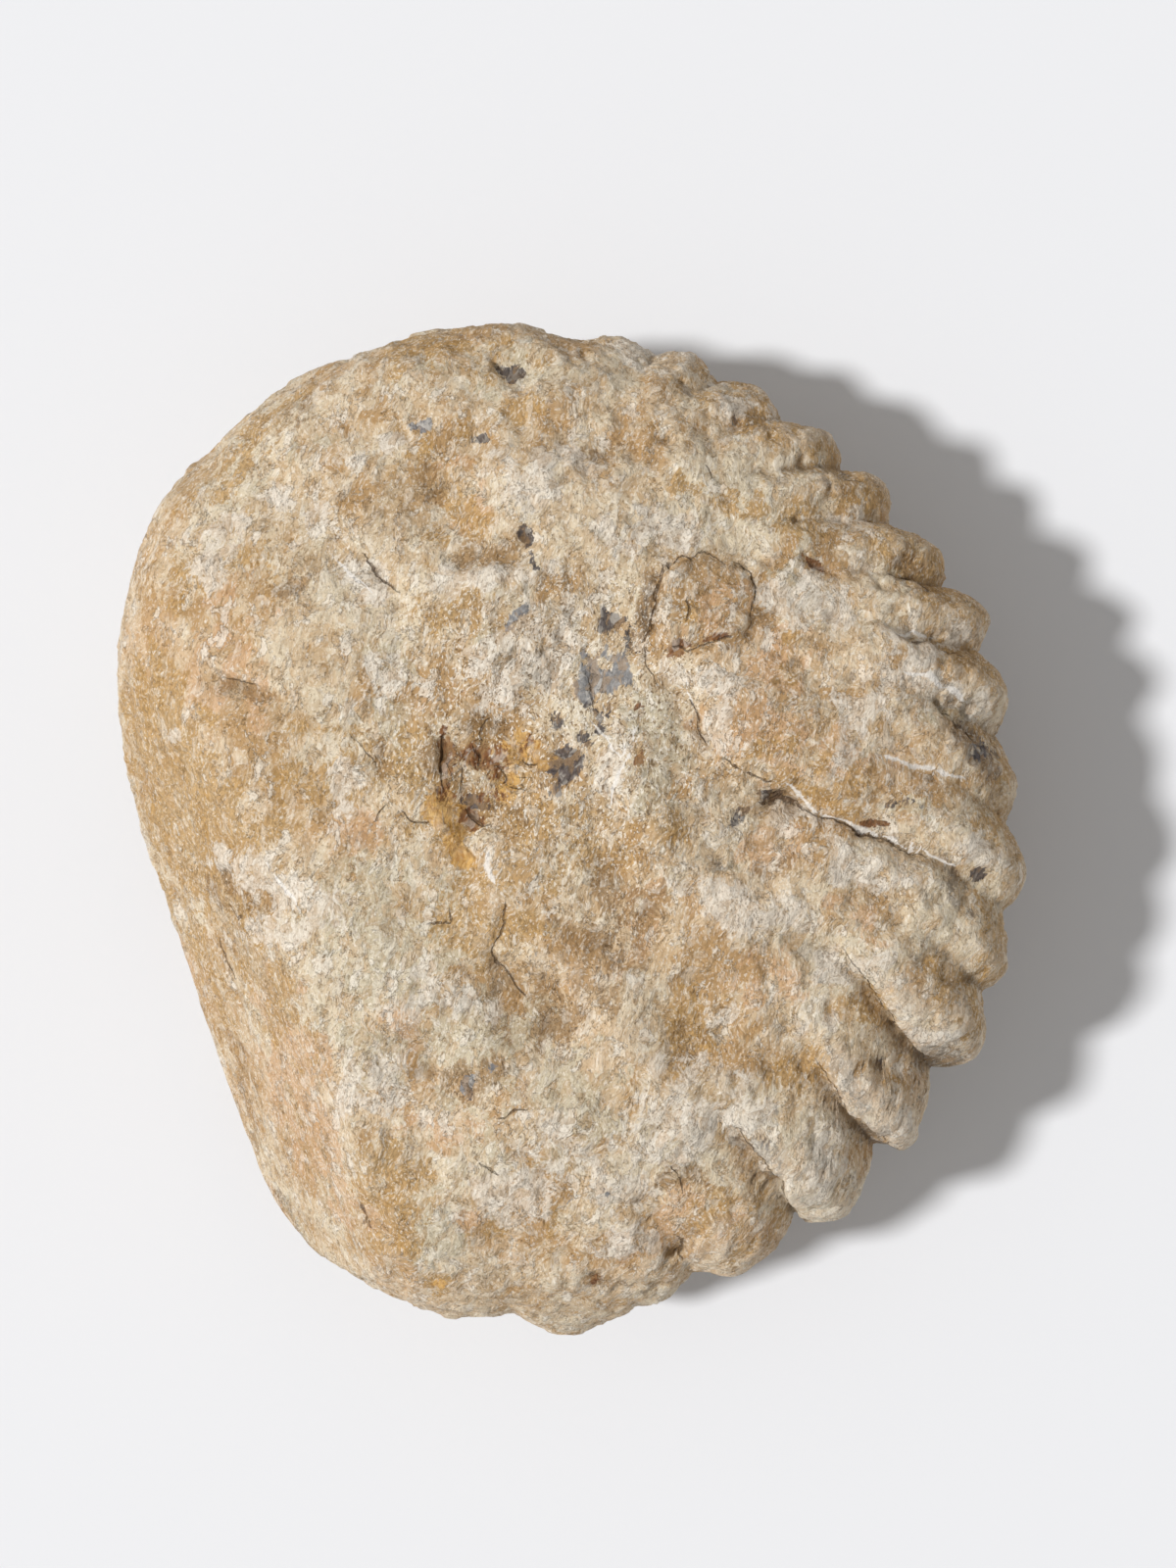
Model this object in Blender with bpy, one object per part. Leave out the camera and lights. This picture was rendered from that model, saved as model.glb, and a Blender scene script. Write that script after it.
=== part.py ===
"""An ammonite fossil: one solid stone, a coiled ribbed shell lying on its flank.

The shell coils clockwise seen from above, about an umbilicus that lies off the middle. Strong ribs cross
the outer edge on the right, and stone hides them on the left, where the coil ends in a broken face.
Every shape is a formula of two numbers at each point of a sphere: the bearing about the umbilicus, and the
way round the section from the upper flank over the outer edge to the lower flank. Sizes are in
millimetres up to the last step, which makes them metres. +Z is up, and the shell's upper flank faces it.
"""

import bmesh
import bpy
import numpy as np

METRES_PER_MM = 0.001

# The driving sizes of the body, in mm.
UPPER_RISE = 29.0                # from the mid-plane to the upper flank
LOWER_RISE = 29.5                # from the mid-plane to the lower flank
REST_CUT = 1.6                   # how much of the lower flank is worn flat where it rests
SECTION_POWER = 2.7              # 2 gives a round section, and more a squarer one
TAPER = 0.075                    # share by which the body thickens towards its mouth end
MOUTH_BEARING = 250.0            # degrees, where the body is thickest

# The outer edge between the ribs: bearing in degrees, and distance from the umbilicus in mm.
EDGE = (
    (1, 60.5), (12, 58.0), (23, 56.5), (35, 55.0), (46, 54.5), (58, 55.0), (69, 56.5), (79, 58.0),
    (90, 59.5), (100, 61.5), (110, 65.0), (121, 66.5), (132, 69.0), (139, 69.0), (147, 71.0), (160, 70.0),
    (175, 69.0), (190, 68.5), (203, 68.5), (216, 73.5), (229, 81.0), (238, 87.0), (250, 85.5), (262, 84.5),
    (274, 82.5), (283, 78.0), (294, 75.5), (305, 71.5), (317, 69.0), (328, 68.5), (339, 64.5), (350, 63.0),
)

# Each rib, clockwise from the top: bearing of its tip, height, width of its gentle side and of its steep
# one in degrees, lean in degrees for each whole radius inwards, and the share of the radius it starts at.
RIBS = (
    (99.0, 1.0, 7.0, 7.0, 10.0, 0.80),
    (84.0, 1.5, 5.5, 5.0, 20.0, 0.80),
    (73.5, 3.0, 5.0, 5.0, 36.0, 0.76),
    (63.0, 3.0, 6.5, 6.5, 60.0, 0.70),
    (50.5, 4.0, 7.5, 6.0, 64.0, 0.66),
    (40.0, 4.5, 7.5, 6.0, 62.0, 0.60),
    (28.0, 4.5, 7.5, 6.0, 58.0, 0.54),
    (17.0, 4.5, 7.0, 5.5, 54.0, 0.50),
    (6.5, 4.5, 7.0, 6.0, 43.0, 0.46),
    (-5.0, 3.0, 7.5, 6.5, 38.0, 0.44),
    (-17.0, 4.0, 7.0, 6.0, 26.0, 0.42),
    (-27.5, 4.0, 7.5, 5.5, 20.0, 0.44),
    (-38.0, 6.0, 7.5, 5.5, 10.0, 0.42),
    (-49.5, 6.5, 8.5, 5.0, 2.0, 0.46),
    (-60.0, 6.5, 8.0, 5.0, -15.0, 0.50),
    (-73.0, 4.5, 8.0, 6.0, -20.0, 0.60),
    (-81.0, 3.5, 4.5, 5.0, -16.0, 0.72),
    (-90.5, 4.5, 9.0, 6.0, -10.0, 0.78),
    (-102.0, 1.0, 6.0, 9.0, -6.0, 0.82),
)
GENTLE_ROUNDNESS = 1.5           # 1 makes a straight side, and more makes a rounder one
STEEP_ROUNDNESS = 1.5
RIB_GROWTH = 2.3                 # above 1 the ribs rise late, close to the edge
SHOULDER_SWELL = 0.15            # a rib stands this share taller on its shoulders than at mid-edge

# Lumps (+) and hollows (-) of the upper flank, in mm from the umbilicus: east, north, half length, half
# width, turn of the length in degrees, height, and how abruptly it ends.
UPPER_RELIEF = (
    (1.5, 7.2, 9.0, 10.0, 0.0, -2.2, 1.2),        # the umbilicus, filled with stone
    (17.5, 19.4, 8.4, 7.6, 20.0, 2.6, 3.0),       # a round knob, where an inner whorl ends
    (29.7, 0.1, 13.0, 8.0, -20.0, 1.7, 1.6),      # next swelling of that whorl
    (39.1, -11.7, 15.0, 2.8, -19.0, -1.9, 1.0),   # groove between two ribs, down to the knob
    (28.0, -8.5, 5.0, 2.2, -10.0, -0.8, 1.2),     # pit at its inner end
    (9.0, -5.1, 14.0, 4.6, 102.0, 1.6, 1.3),      # ridge beside the umbilicus
    (16.1, 3.9, 8.0, 2.4, -60.0, -1.2, 1.2),      # furrow between that ridge and the swelling
    (-12.7, -4.4, 7.4, 7.2, 0.0, -1.7, 2.6),      # rusty pocket
    (-15.6, -16.7, 8.5, 2.8, 80.0, -1.3, 1.2),    # rusty trough below it
    (-12.1, 22.7, 9.5, 3.0, 4.0, 1.3, 1.3),       # arc of an inner whorl
    (-7.4, 27.9, 6.0, 2.0, 60.0, -1.0, 1.0),      # grey streak
    (-30.1, 23.0, 8.0, 3.4, -50.0, -1.4, 1.4),    # dent with a crack
    (-16.6, 34.0, 9.5, 5.0, 86.0, -1.7, 1.4),     # brown groove below the top edge
    (-14.3, 43.7, 25.0, 2.8, -2.0, -1.1, 1.0),    # foot of the knobbly band along the top edge
    (-9.0, 52.9, 2.8, 2.4, 0.0, -2.0, 1.2),       # pit in that band
    (-47.7, 8.2, 4.8, 2.0, -10.0, -1.1, 1.2),     # pits on the smooth left side
    (-45.8, -22.7, 6.0, 5.0, -20.0, -1.3, 1.6),   # chipped patch above the broken face
    (-6.7, -36.9, 8.5, 5.2, -35.0, -2.0, 1.5),    # olive hollow
    (5.7, -22.9, 5.0, 10.0, 20.0, -1.2, 1.2),     # trough below the umbilicus
    (16.2, -40.1, 6.4, 6.2, 20.0, -2.1, 1.5),     # ochre hollow at the root of the low ribs
    (20.7, -23.4, 8.0, 6.0, 0.0, 1.2, 1.5),       # pale swelling
    (2.9, -50.2, 16.0, 8.0, 0.0, 1.5, 1.4),       # swelling of the last whorl
    (-22.6, -47.6, 14.0, 5.0, 70.0, -1.0, 1.2),   # dip before the broken face
    (-30.3, -67.1, 3.6, 2.0, 70.0, -1.2, 1.2),    # small pit in the broken face
    (-37.5, 7.2, 18.0, 20.0, 0.0, 1.0, 1.3),      # the smooth stone of the left side
    (-36.6, 48.1, 12.0, 5.0, 38.0, 1.0, 1.2),     # lumps of the band along the top edge
    (-1.9, 49.7, 6.0, 4.0, 0.0, 1.2, 1.2),
)

# The lower flank is plainer: the same columns.
LOWER_RELIEF = (
    (0.0, 4.0, 17.0, 15.0, 0.0, -4.2, 1.3),
    (24.0, 14.0, 9.0, 7.0, 40.0, 1.3, 1.5),
    (-26.0, 22.0, 14.0, 8.0, -35.0, -1.2, 1.3),
    (-38.0, -20.0, 12.0, 9.0, 30.0, -1.4, 1.3),
    (12.0, -46.0, 14.0, 8.0, -20.0, -1.3, 1.3),
)

# Flat breaks: a point in mm from the umbilicus and the mid-plane, and the direction that the break faces.
BREAKS = (
    ((-55.8, -37.7, -6.0), (-0.829, -0.330, 0.454)),   # the broken mouth end of the coil
    ((-28.3, -74.7, 21.4), (-0.624, -0.641, 0.454)),   # its lower corner
    ((-52.0, 45.5, 10.0), (-0.60, 0.66, 0.45)),        # flat on the upper left
    ((2.0, -80.0, 12.0), (0.12, -0.86, 0.50)),         # bevel along the lower edge
)
BREAK_SOFTNESS = 1.4             # mm, how round a break's border is

# Slow swelling of the whole surface, as plane waves: direction and length in mm, and height.
SWELLS = (
    ((1.0, 0.3, 0.4), 47.0, 0.55),
    ((-0.4, 1.0, 0.5), 36.0, 0.50),
    ((0.6, -0.9, 0.8), 27.0, 0.35),
    ((0.9, 0.8, -0.5), 19.0, 0.30),
    ((-1.0, 0.5, 0.9), 15.0, 0.22),
)

COLUMNS, ROWS = 420, 110         # of the sphere that is shaped
GROUND_BLOCK = 0.3               # metres, a side of the block that the fossil is worn down to
SHARE_KEPT = 0.104               # of its triangles, the rest going where the surface is plain


def edge_radius(bearing):
    """Distance from the umbilicus to the outer edge, a closed smooth curve through EDGE."""
    knots = np.array(EDGE, float)
    angles = np.concatenate([knots[:, 0] - 360, knots[:, 0], knots[:, 0] + 360])
    radii = np.tile(knots[:, 1], 3)
    slopes = np.gradient(radii, angles)
    where = np.clip(np.searchsorted(angles, bearing, side="right") - 1, 0, len(angles) - 2)
    span = angles[where + 1] - angles[where]
    t = (bearing - angles[where]) / span
    start = (1 + 2 * t) * (1 - t) ** 2 * radii[where] + t * (1 - t) ** 2 * span * slopes[where]
    end = t * t * (3 - 2 * t) * radii[where + 1] - t * t * (1 - t) * span * slopes[where + 1]
    return start + end


def smooth_step(x):
    """0 up to x = 0, 1 from x = 1, and smooth between."""
    x = np.clip(x, 0, 1)
    return x * x * (3 - 2 * x)


def rib_height(bearing, share):
    """Height of the ribbing at a bearing and a share of the way out to the edge."""
    height = np.zeros_like(bearing)
    for tip, rise, gentle, steep, lean, root in RIBS:
        aside = (bearing - tip - lean * (1 - share) + 180) % 360 - 180
        gentle_side = 1 - np.clip(aside / gentle, 0, 1) ** GENTLE_ROUNDNESS
        steep_side = 1 - np.clip(-aside / steep, 0, 1) ** STEEP_ROUNDNESS
        crest = np.minimum(gentle_side, steep_side)
        grown = np.clip((share - root) / (1 - root), 0, 1) ** RIB_GROWTH
        height = np.maximum(height, rise * crest * grown)
    return height


def relief_height(east, north, lumps):
    """Sum of smooth oval lumps and hollows."""
    height = np.zeros_like(east)
    for lump_east, lump_north, half_long, half_wide, turn, rise, abruptness in lumps:
        c, s = np.cos(np.radians(turn)), np.sin(np.radians(turn))
        along = (east - lump_east) * c + (north - lump_north) * s
        aside = (north - lump_north) * c - (east - lump_east) * s
        outward = (along / half_long) ** 2 + (aside / half_wide) ** 2
        height += rise * np.exp(-(outward**abruptness))
    return height


def swell_height(points):
    """Slow undulation, a sum of plane waves with a shift each."""
    height = np.zeros(len(points))
    for shift, (direction, length, rise) in enumerate(SWELLS):
        along = points @ (np.array(direction) / np.linalg.norm(direction))
        height += rise * np.sin(2 * np.pi * along / length + 1.7 * shift)
    return height


def break_off(points):
    """Moves what lies past each break back to its plane, with a softened border."""
    for centre, facing in BREAKS:
        normal = np.array(facing) / np.linalg.norm(facing)
        past = (points - np.array(centre)) @ normal
        over = BREAK_SOFTNESS * np.logaddexp(0, past / BREAK_SOFTNESS)
        points = points - np.outer(over, normal)
    return points


def shell_points(bearing, polar):
    """The fossil's surface, in mm from the umbilicus, at a bearing in degrees and a polar angle in radians."""
    power = 2 / SECTION_POWER
    share = np.abs(np.sin(polar)) ** power
    level = np.sign(np.cos(polar)) * np.abs(np.cos(polar)) ** power
    upper = level >= 0
    radius = edge_radius(bearing)
    thicker = 1 + TAPER * share * np.cos(np.radians(bearing - MOUTH_BEARING))
    rise = np.where(upper, UPPER_RISE, LOWER_RISE) * thicker
    out = np.stack([np.cos(np.radians(bearing)), np.sin(np.radians(bearing))], axis=1)
    points = np.column_stack([out * (radius * share)[:, None], level * rise])

    # The section's normal: steep at the edge, upright on the flanks.
    outward = share ** (SECTION_POWER - 1) / radius
    upward = level * np.abs(level) ** (SECTION_POWER - 2) / rise
    normal = np.column_stack([out * outward[:, None], upward])
    normal /= np.linalg.norm(normal, axis=1)[:, None]

    shoulder = 1 + SHOULDER_SWELL * np.sin(2 * np.minimum(polar, np.pi - polar)) ** 2
    raised = rib_height(bearing, share) * shoulder
    relief = np.where(
        upper,
        relief_height(points[:, 0], points[:, 1], UPPER_RELIEF),
        relief_height(points[:, 0], points[:, 1], LOWER_RELIEF),
    )
    flank = smooth_step(np.abs(level) * 2.5)
    raised += relief * flank + swell_height(points) * (0.4 + 0.6 * flank)
    return break_off(points + normal * raised[:, None])


def seat(points):
    """Centres the footprint on the origin, with the lowest point REST_CUT under it."""
    middle = (points.max(axis=0) + points.min(axis=0)) / 2
    return points - np.array([middle[0], middle[1], points[:, 2].min() + REST_CUT])


def limestone():
    """Tan limestone, dull all over."""
    material = bpy.data.materials.new("limestone")
    material.use_nodes = True
    shader = material.node_tree.nodes["Principled BSDF"]
    shader.inputs["Base Color"].default_value = (0.48, 0.37, 0.25, 1)
    shader.inputs["Roughness"].default_value = 0.85
    shader.inputs["Metallic"].default_value = 0.0
    return material


def make_ammonite():
    """The fossil: a sphere shaped point by point, then thinned where its surface is plain."""
    shape = bmesh.new()
    bmesh.ops.create_uvsphere(shape, u_segments=COLUMNS, v_segments=ROWS, radius=1)
    mesh = bpy.data.meshes.new("ammonite")
    shape.to_mesh(mesh)
    shape.free()

    sphere = np.empty(len(mesh.vertices) * 3)
    mesh.vertices.foreach_get("co", sphere)
    sphere = sphere.reshape(-1, 3)
    bearing = np.degrees(np.arctan2(sphere[:, 1], sphere[:, 0]))
    polar = np.arccos(np.clip(sphere[:, 2], -1, 1))
    points = seat(shell_points(bearing, polar)) * METRES_PER_MM
    mesh.vertices.foreach_set("co", points.ravel())
    mesh.shade_smooth()
    mesh.materials.append(limestone())

    ammonite = bpy.data.objects.new("ammonite", mesh)
    thin = ammonite.modifiers.new("thin", "DECIMATE")
    thin.ratio = SHARE_KEPT
    return ammonite


def make_ground():
    """A block under zero height, which wears the lowest places of the fossil flat."""
    block = bmesh.new()
    bmesh.ops.create_cube(block, size=GROUND_BLOCK)
    bmesh.ops.translate(block, verts=block.verts, vec=(0, 0, -GROUND_BLOCK / 2))
    mesh = bpy.data.meshes.new("ground")
    block.to_mesh(mesh)
    block.free()
    ground = bpy.data.objects.new("ground", mesh)
    ground.hide_render = True
    ground.display_type = "WIRE"
    return ground


def add_collection(name, item):
    """Puts an object in a new collection of the scene."""
    collection = bpy.data.collections.new(name)
    bpy.context.scene.collection.children.link(collection)
    collection.objects.link(item)


def main():
    """Clears the scene, then makes the fossil and the block that wears it flat."""
    for old in list(bpy.data.objects):
        bpy.data.objects.remove(old)
    ammonite = make_ammonite()
    ground = make_ground()
    add_collection("ammonite_fossil", ammonite)
    add_collection("cutters", ground)
    wear = ammonite.modifiers.new("wear", "BOOLEAN")
    wear.operation = "DIFFERENCE"
    wear.object = ground


main()
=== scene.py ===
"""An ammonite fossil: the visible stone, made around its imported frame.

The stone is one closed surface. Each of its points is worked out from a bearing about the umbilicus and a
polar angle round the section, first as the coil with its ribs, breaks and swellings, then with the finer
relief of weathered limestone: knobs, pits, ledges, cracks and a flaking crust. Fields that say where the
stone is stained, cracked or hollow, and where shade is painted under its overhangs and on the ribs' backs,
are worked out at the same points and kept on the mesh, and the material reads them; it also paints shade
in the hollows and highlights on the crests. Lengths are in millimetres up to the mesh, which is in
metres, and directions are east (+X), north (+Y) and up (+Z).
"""

from __future__ import annotations

import logging
import math
from dataclasses import dataclass, field
from enum import Enum

import bpy
import numpy as np
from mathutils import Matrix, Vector
from numpy.typing import NDArray


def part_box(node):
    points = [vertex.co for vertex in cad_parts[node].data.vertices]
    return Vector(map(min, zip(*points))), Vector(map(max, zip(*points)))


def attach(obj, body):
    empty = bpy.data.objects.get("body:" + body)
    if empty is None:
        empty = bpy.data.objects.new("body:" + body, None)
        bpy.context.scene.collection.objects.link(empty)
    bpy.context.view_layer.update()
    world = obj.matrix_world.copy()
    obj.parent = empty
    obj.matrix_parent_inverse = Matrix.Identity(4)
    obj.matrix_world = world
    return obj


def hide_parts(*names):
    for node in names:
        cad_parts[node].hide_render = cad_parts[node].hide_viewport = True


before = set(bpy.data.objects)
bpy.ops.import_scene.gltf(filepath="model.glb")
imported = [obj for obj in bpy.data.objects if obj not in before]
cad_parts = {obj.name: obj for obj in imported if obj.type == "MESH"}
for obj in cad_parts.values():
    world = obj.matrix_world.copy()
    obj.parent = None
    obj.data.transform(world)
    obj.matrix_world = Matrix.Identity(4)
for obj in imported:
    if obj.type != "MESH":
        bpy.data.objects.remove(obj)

Array = NDArray[np.float64]
Place = tuple[float, float]  # east and north
Range = tuple[float, float]  # where something starts, and where it is whole
Triple = tuple[float, float, float]
Mark = tuple[float, float, float]  # a range of a pattern's values, and how much of the stone is covered
Grain = tuple[float, float, float]  # a shader noise: its size, detail and roughness
Layers = tuple[float, int, float]  # a noise in layers: its size, their number and its shift
Colour = tuple[float, float, float, float]

METRES_PER_MM = 0.001
CAD_NODE = "ammonite"

log = logging.getLogger("ammonite")


def smooth_step(low: float, high: float, x: Array) -> Array:
    """Rises from 0 at low to 1 at high along a cubic with level ends.

    Args:
        low: Where the rise starts.
        high: Where it ends.
        x: Values to place on it.

    Returns:
        The height of the rise at each value.
    """
    t = np.clip((x - low) / (high - low), 0.0, 1.0)
    return t * t * (3.0 - 2.0 * t)


@dataclass(frozen=True)
class Oval:
    """A smooth oval lump (+) or hollow (-) seen from above, placed from the umbilicus.

    Its height is rise * exp(-(u^2 + v^2)^abruptness), where u and v are the distances along and across it
    in half lengths and half widths.
    """

    east: float
    north: float
    half_long: float
    half_wide: float
    turn: float = 0.0
    rise: float = 1.0
    abruptness: float = 1.2

    def height(self, east: Array, north: Array) -> Array:
        """Works out the oval's height.

        Args:
            east: Places, mm east of the umbilicus.
            north: And north of it.

        Returns:
            Its height over each place, in mm.
        """
        c, s = math.cos(math.radians(self.turn)), math.sin(math.radians(self.turn))
        along = (east - self.east) * c + (north - self.north) * s
        across = (north - self.north) * c - (east - self.east) * s
        outward = (along / self.half_long) ** 2 + (across / self.half_wide) ** 2
        return self.rise * np.exp(-(outward**self.abruptness))


@dataclass(frozen=True)
class Rib:
    """A rib of the shell: where it meets the outer edge, and how it stands there.

    Angles are degrees. The gentle side looks back along the coil and the steep side towards its mouth. The
    rib leans by so many degrees for each whole radius inwards, and starts at a share of the radius.
    """

    tip: float
    rise: float
    gentle: float
    steep: float
    lean: float
    root: float


@dataclass(frozen=True)
class Break:
    """A flat break: a point on its plane, from the umbilicus and the mid-plane, and where it faces."""

    centre: Triple
    facing: Triple

    @property
    def normal(self) -> Array:
        """Where the break faces, as a unit vector."""
        return np.array(self.facing) / np.linalg.norm(self.facing)

    def past(self, points: Array) -> Array:
        """How far outside its plane each point is, in mm."""
        return (points - np.array(self.centre)) @ self.normal


@dataclass(frozen=True)
class Swell:
    """One slow plane wave of the surface: its direction, length and height."""

    direction: Triple
    length: float
    rise: float


@dataclass
class Noise:
    """Seeded gradient noise in space, so that the same stone is made each time."""

    seed: int = 7
    table: NDArray[np.int64] = field(init=False)
    slopes: Array = field(init=False)

    def __post_init__(self) -> None:
        """Fills the shuffled table and the unit slopes that lattice points draw from."""
        rng = np.random.default_rng(self.seed)
        self.table = np.tile(rng.permutation(256), 2)
        slopes = rng.normal(size=(256, 3))
        self.slopes = slopes / np.linalg.norm(slopes, axis=1)[:, None]

    def plain(self, points: Array, size: float, shift: float = 0.0) -> Array:
        """Gradient noise: at each lattice corner a slope, and between corners a smooth blend of them.

        Args:
            points: Places in mm, one row each.
            size: Lattice spacing in mm.
            shift: Moves the pattern, so that layers of one size differ.

        Returns:
            Values from about -0.6 to 0.6.
        """
        scaled = points / size + shift
        low = np.floor(scaled)
        part = scaled - low
        cell = low.astype(np.int64) & 255
        fade = part**3 * (part * (part * 6 - 15) + 10)
        total = np.zeros(len(points))
        for corner in np.ndindex(2, 2, 2):
            x, y, z = (cell + corner).T & 255
            slope = self.slopes[self.table[self.table[self.table[x] + y] + z]]
            weight = np.prod(np.where(corner, fade, 1 - fade), axis=1)
            total += weight * np.einsum("ij,ij->i", slope, part - corner)
        return total

    def layered(self, points: Array, size: float, layers: int, shift: float = 0.0) -> Array:
        """Layers of noise added up, each half the size of the last and 0.55 as high.

        Args:
            points: Places in mm, one row each.
            size: Lattice spacing of the first layer in mm.
            layers: How many there are.
            shift: Moves the pattern.

        Returns:
            Values round 0.
        """
        total = np.zeros(len(points))
        for layer in range(layers):
            total += 0.55**layer * self.plain(points, size * 0.5**layer, shift + 5.3 * layer)
        return total

    def creased(self, points: Array, size: float, layers: int, shift: float = 0.0) -> Array:
        """Layers of 1 - 2|noise|, which meets in sharp ridges, each half the size and height of the last.

        Args:
            points: Places in mm, one row each.
            size: Lattice spacing of the first layer in mm.
            layers: How many there are.
            shift: Moves the pattern.

        Returns:
            Values up to about 1.5.
        """
        total = np.zeros(len(points))
        for layer in range(layers):
            value = self.plain(points, size * 0.5**layer, shift + 3.1 * layer)
            total += 0.5**layer * (1 - 2 * np.abs(value))
        return total / 1.2


@dataclass
class CoilShape:
    """The fossil's main form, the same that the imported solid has.

    Attributes:
        edge: Bearing in degrees and distance in mm of the outer edge between its ribs, from the umbilicus.
    """

    upper_rise: float = 29.0
    lower_rise: float = 29.5
    section_power: float = 2.7
    taper: float = 0.075
    mouth_bearing: float = 250.0
    gentle_roundness: float = 1.5
    steep_roundness: float = 1.5
    rib_growth: float = 2.3
    shoulder_swell: float = 0.15
    break_softness: float = 1.4
    edge: tuple[Place, ...] = (
        (1, 60.5), (12, 58.0), (23, 56.5), (35, 55.0), (46, 54.5), (58, 55.0), (69, 56.5), (79, 58.0),
        (90, 59.5), (100, 61.5), (110, 65.0), (121, 66.5), (132, 69.0), (139, 69.0), (147, 71.0), (160, 70.0),
        (175, 69.0), (190, 68.5), (203, 68.5), (216, 73.5), (229, 81.0), (238, 87.0), (250, 85.5),
        (262, 84.5), (274, 82.5), (283, 78.0), (294, 75.5), (305, 71.5), (317, 69.0), (328, 68.5),
        (339, 64.5), (350, 63.0),
    )
    ribs: tuple[Rib, ...] = (
        Rib(99.0, 1.0, 7.0, 7.0, 10.0, 0.80),
        Rib(84.0, 1.5, 5.5, 5.0, 20.0, 0.80),
        Rib(73.5, 3.0, 5.0, 5.0, 36.0, 0.76),
        Rib(63.0, 3.0, 6.5, 6.5, 60.0, 0.70),
        Rib(50.5, 4.0, 7.5, 6.0, 64.0, 0.66),
        Rib(40.0, 4.5, 7.5, 6.0, 62.0, 0.60),
        Rib(28.0, 4.5, 7.5, 6.0, 58.0, 0.54),
        Rib(17.0, 4.5, 7.0, 5.5, 54.0, 0.50),
        Rib(6.5, 4.5, 7.0, 6.0, 43.0, 0.46),
        Rib(-5.0, 3.0, 7.5, 6.5, 38.0, 0.44),
        Rib(-17.0, 4.0, 7.0, 6.0, 26.0, 0.42),
        Rib(-27.5, 4.0, 7.5, 5.5, 20.0, 0.44),
        Rib(-38.0, 6.0, 7.5, 5.5, 10.0, 0.42),
        Rib(-49.5, 6.5, 8.5, 5.0, 2.0, 0.46),
        Rib(-60.0, 6.5, 8.0, 5.0, -15.0, 0.50),
        Rib(-73.0, 4.5, 8.0, 6.0, -20.0, 0.60),
        Rib(-81.0, 3.5, 4.5, 5.0, -16.0, 0.72),
        Rib(-90.5, 4.5, 9.0, 6.0, -10.0, 0.78),
        Rib(-102.0, 1.0, 6.0, 9.0, -6.0, 0.82),
    )
    upper_relief: tuple[Oval, ...] = (
        Oval(1.5, 7.2, 9.0, 10.0, 0.0, -2.2, 1.2),
        Oval(17.5, 19.4, 8.4, 7.6, 20.0, 2.6, 3.0),
        Oval(29.7, 0.1, 13.0, 8.0, -20.0, 1.7, 1.6),
        Oval(39.1, -11.7, 15.0, 2.8, -19.0, -1.9, 1.0),
        Oval(28.0, -8.5, 5.0, 2.2, -10.0, -0.8, 1.2),
        Oval(9.0, -5.1, 14.0, 4.6, 102.0, 1.6, 1.3),
        Oval(16.1, 3.9, 8.0, 2.4, -60.0, -1.2, 1.2),
        Oval(-12.7, -4.4, 7.4, 7.2, 0.0, -1.7, 2.6),
        Oval(-15.6, -16.7, 8.5, 2.8, 80.0, -1.3, 1.2),
        Oval(-12.1, 22.7, 9.5, 3.0, 4.0, 1.3, 1.3),
        Oval(-7.4, 27.9, 6.0, 2.0, 60.0, -1.0, 1.0),
        Oval(-30.1, 23.0, 8.0, 3.4, -50.0, -1.4, 1.4),
        Oval(-16.6, 34.0, 9.5, 5.0, 86.0, -1.7, 1.4),
        Oval(-14.3, 43.7, 25.0, 2.8, -2.0, -1.1, 1.0),
        Oval(-9.0, 52.9, 2.8, 2.4, 0.0, -2.0, 1.2),
        Oval(-47.7, 8.2, 4.8, 2.0, -10.0, -1.1, 1.2),
        Oval(-45.8, -22.7, 6.0, 5.0, -20.0, -1.3, 1.6),
        Oval(-6.7, -36.9, 8.5, 5.2, -35.0, -2.0, 1.5),
        Oval(5.7, -22.9, 5.0, 10.0, 20.0, -1.2, 1.2),
        Oval(16.2, -40.1, 6.4, 6.2, 20.0, -2.1, 1.5),
        Oval(20.7, -23.4, 8.0, 6.0, 0.0, 1.2, 1.5),
        Oval(2.9, -50.2, 16.0, 8.0, 0.0, 1.5, 1.4),
        Oval(-22.6, -47.6, 14.0, 5.0, 70.0, -1.0, 1.2),
        Oval(-30.3, -67.1, 3.6, 2.0, 70.0, -1.2, 1.2),
        Oval(-37.5, 7.2, 18.0, 20.0, 0.0, 1.0, 1.3),
        Oval(-36.6, 48.1, 12.0, 5.0, 38.0, 1.0, 1.2),
        Oval(-1.9, 49.7, 6.0, 4.0, 0.0, 1.2, 1.2),
    )
    lower_relief: tuple[Oval, ...] = (
        Oval(0.0, 4.0, 17.0, 15.0, 0.0, -4.2, 1.3),
        Oval(24.0, 14.0, 9.0, 7.0, 40.0, 1.3, 1.5),
        Oval(-26.0, 22.0, 14.0, 8.0, -35.0, -1.2, 1.3),
        Oval(-38.0, -20.0, 12.0, 9.0, 30.0, -1.4, 1.3),
        Oval(12.0, -46.0, 14.0, 8.0, -20.0, -1.3, 1.3),
    )
    breaks: tuple[Break, ...] = (
        Break((-55.8, -37.7, -6.0), (-0.829, -0.330, 0.454)),
        Break((-28.3, -74.7, 21.4), (-0.624, -0.641, 0.454)),
        Break((-52.0, 45.5, 10.0), (-0.60, 0.66, 0.45)),
        Break((2.0, -80.0, 12.0), (0.12, -0.86, 0.50)),
    )
    swells: tuple[Swell, ...] = (
        Swell((1.0, 0.3, 0.4), 47.0, 0.55),
        Swell((-0.4, 1.0, 0.5), 36.0, 0.50),
        Swell((0.6, -0.9, 0.8), 27.0, 0.35),
        Swell((0.9, 0.8, -0.5), 19.0, 0.30),
        Swell((-1.0, 0.5, 0.9), 15.0, 0.22),
    )

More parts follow.
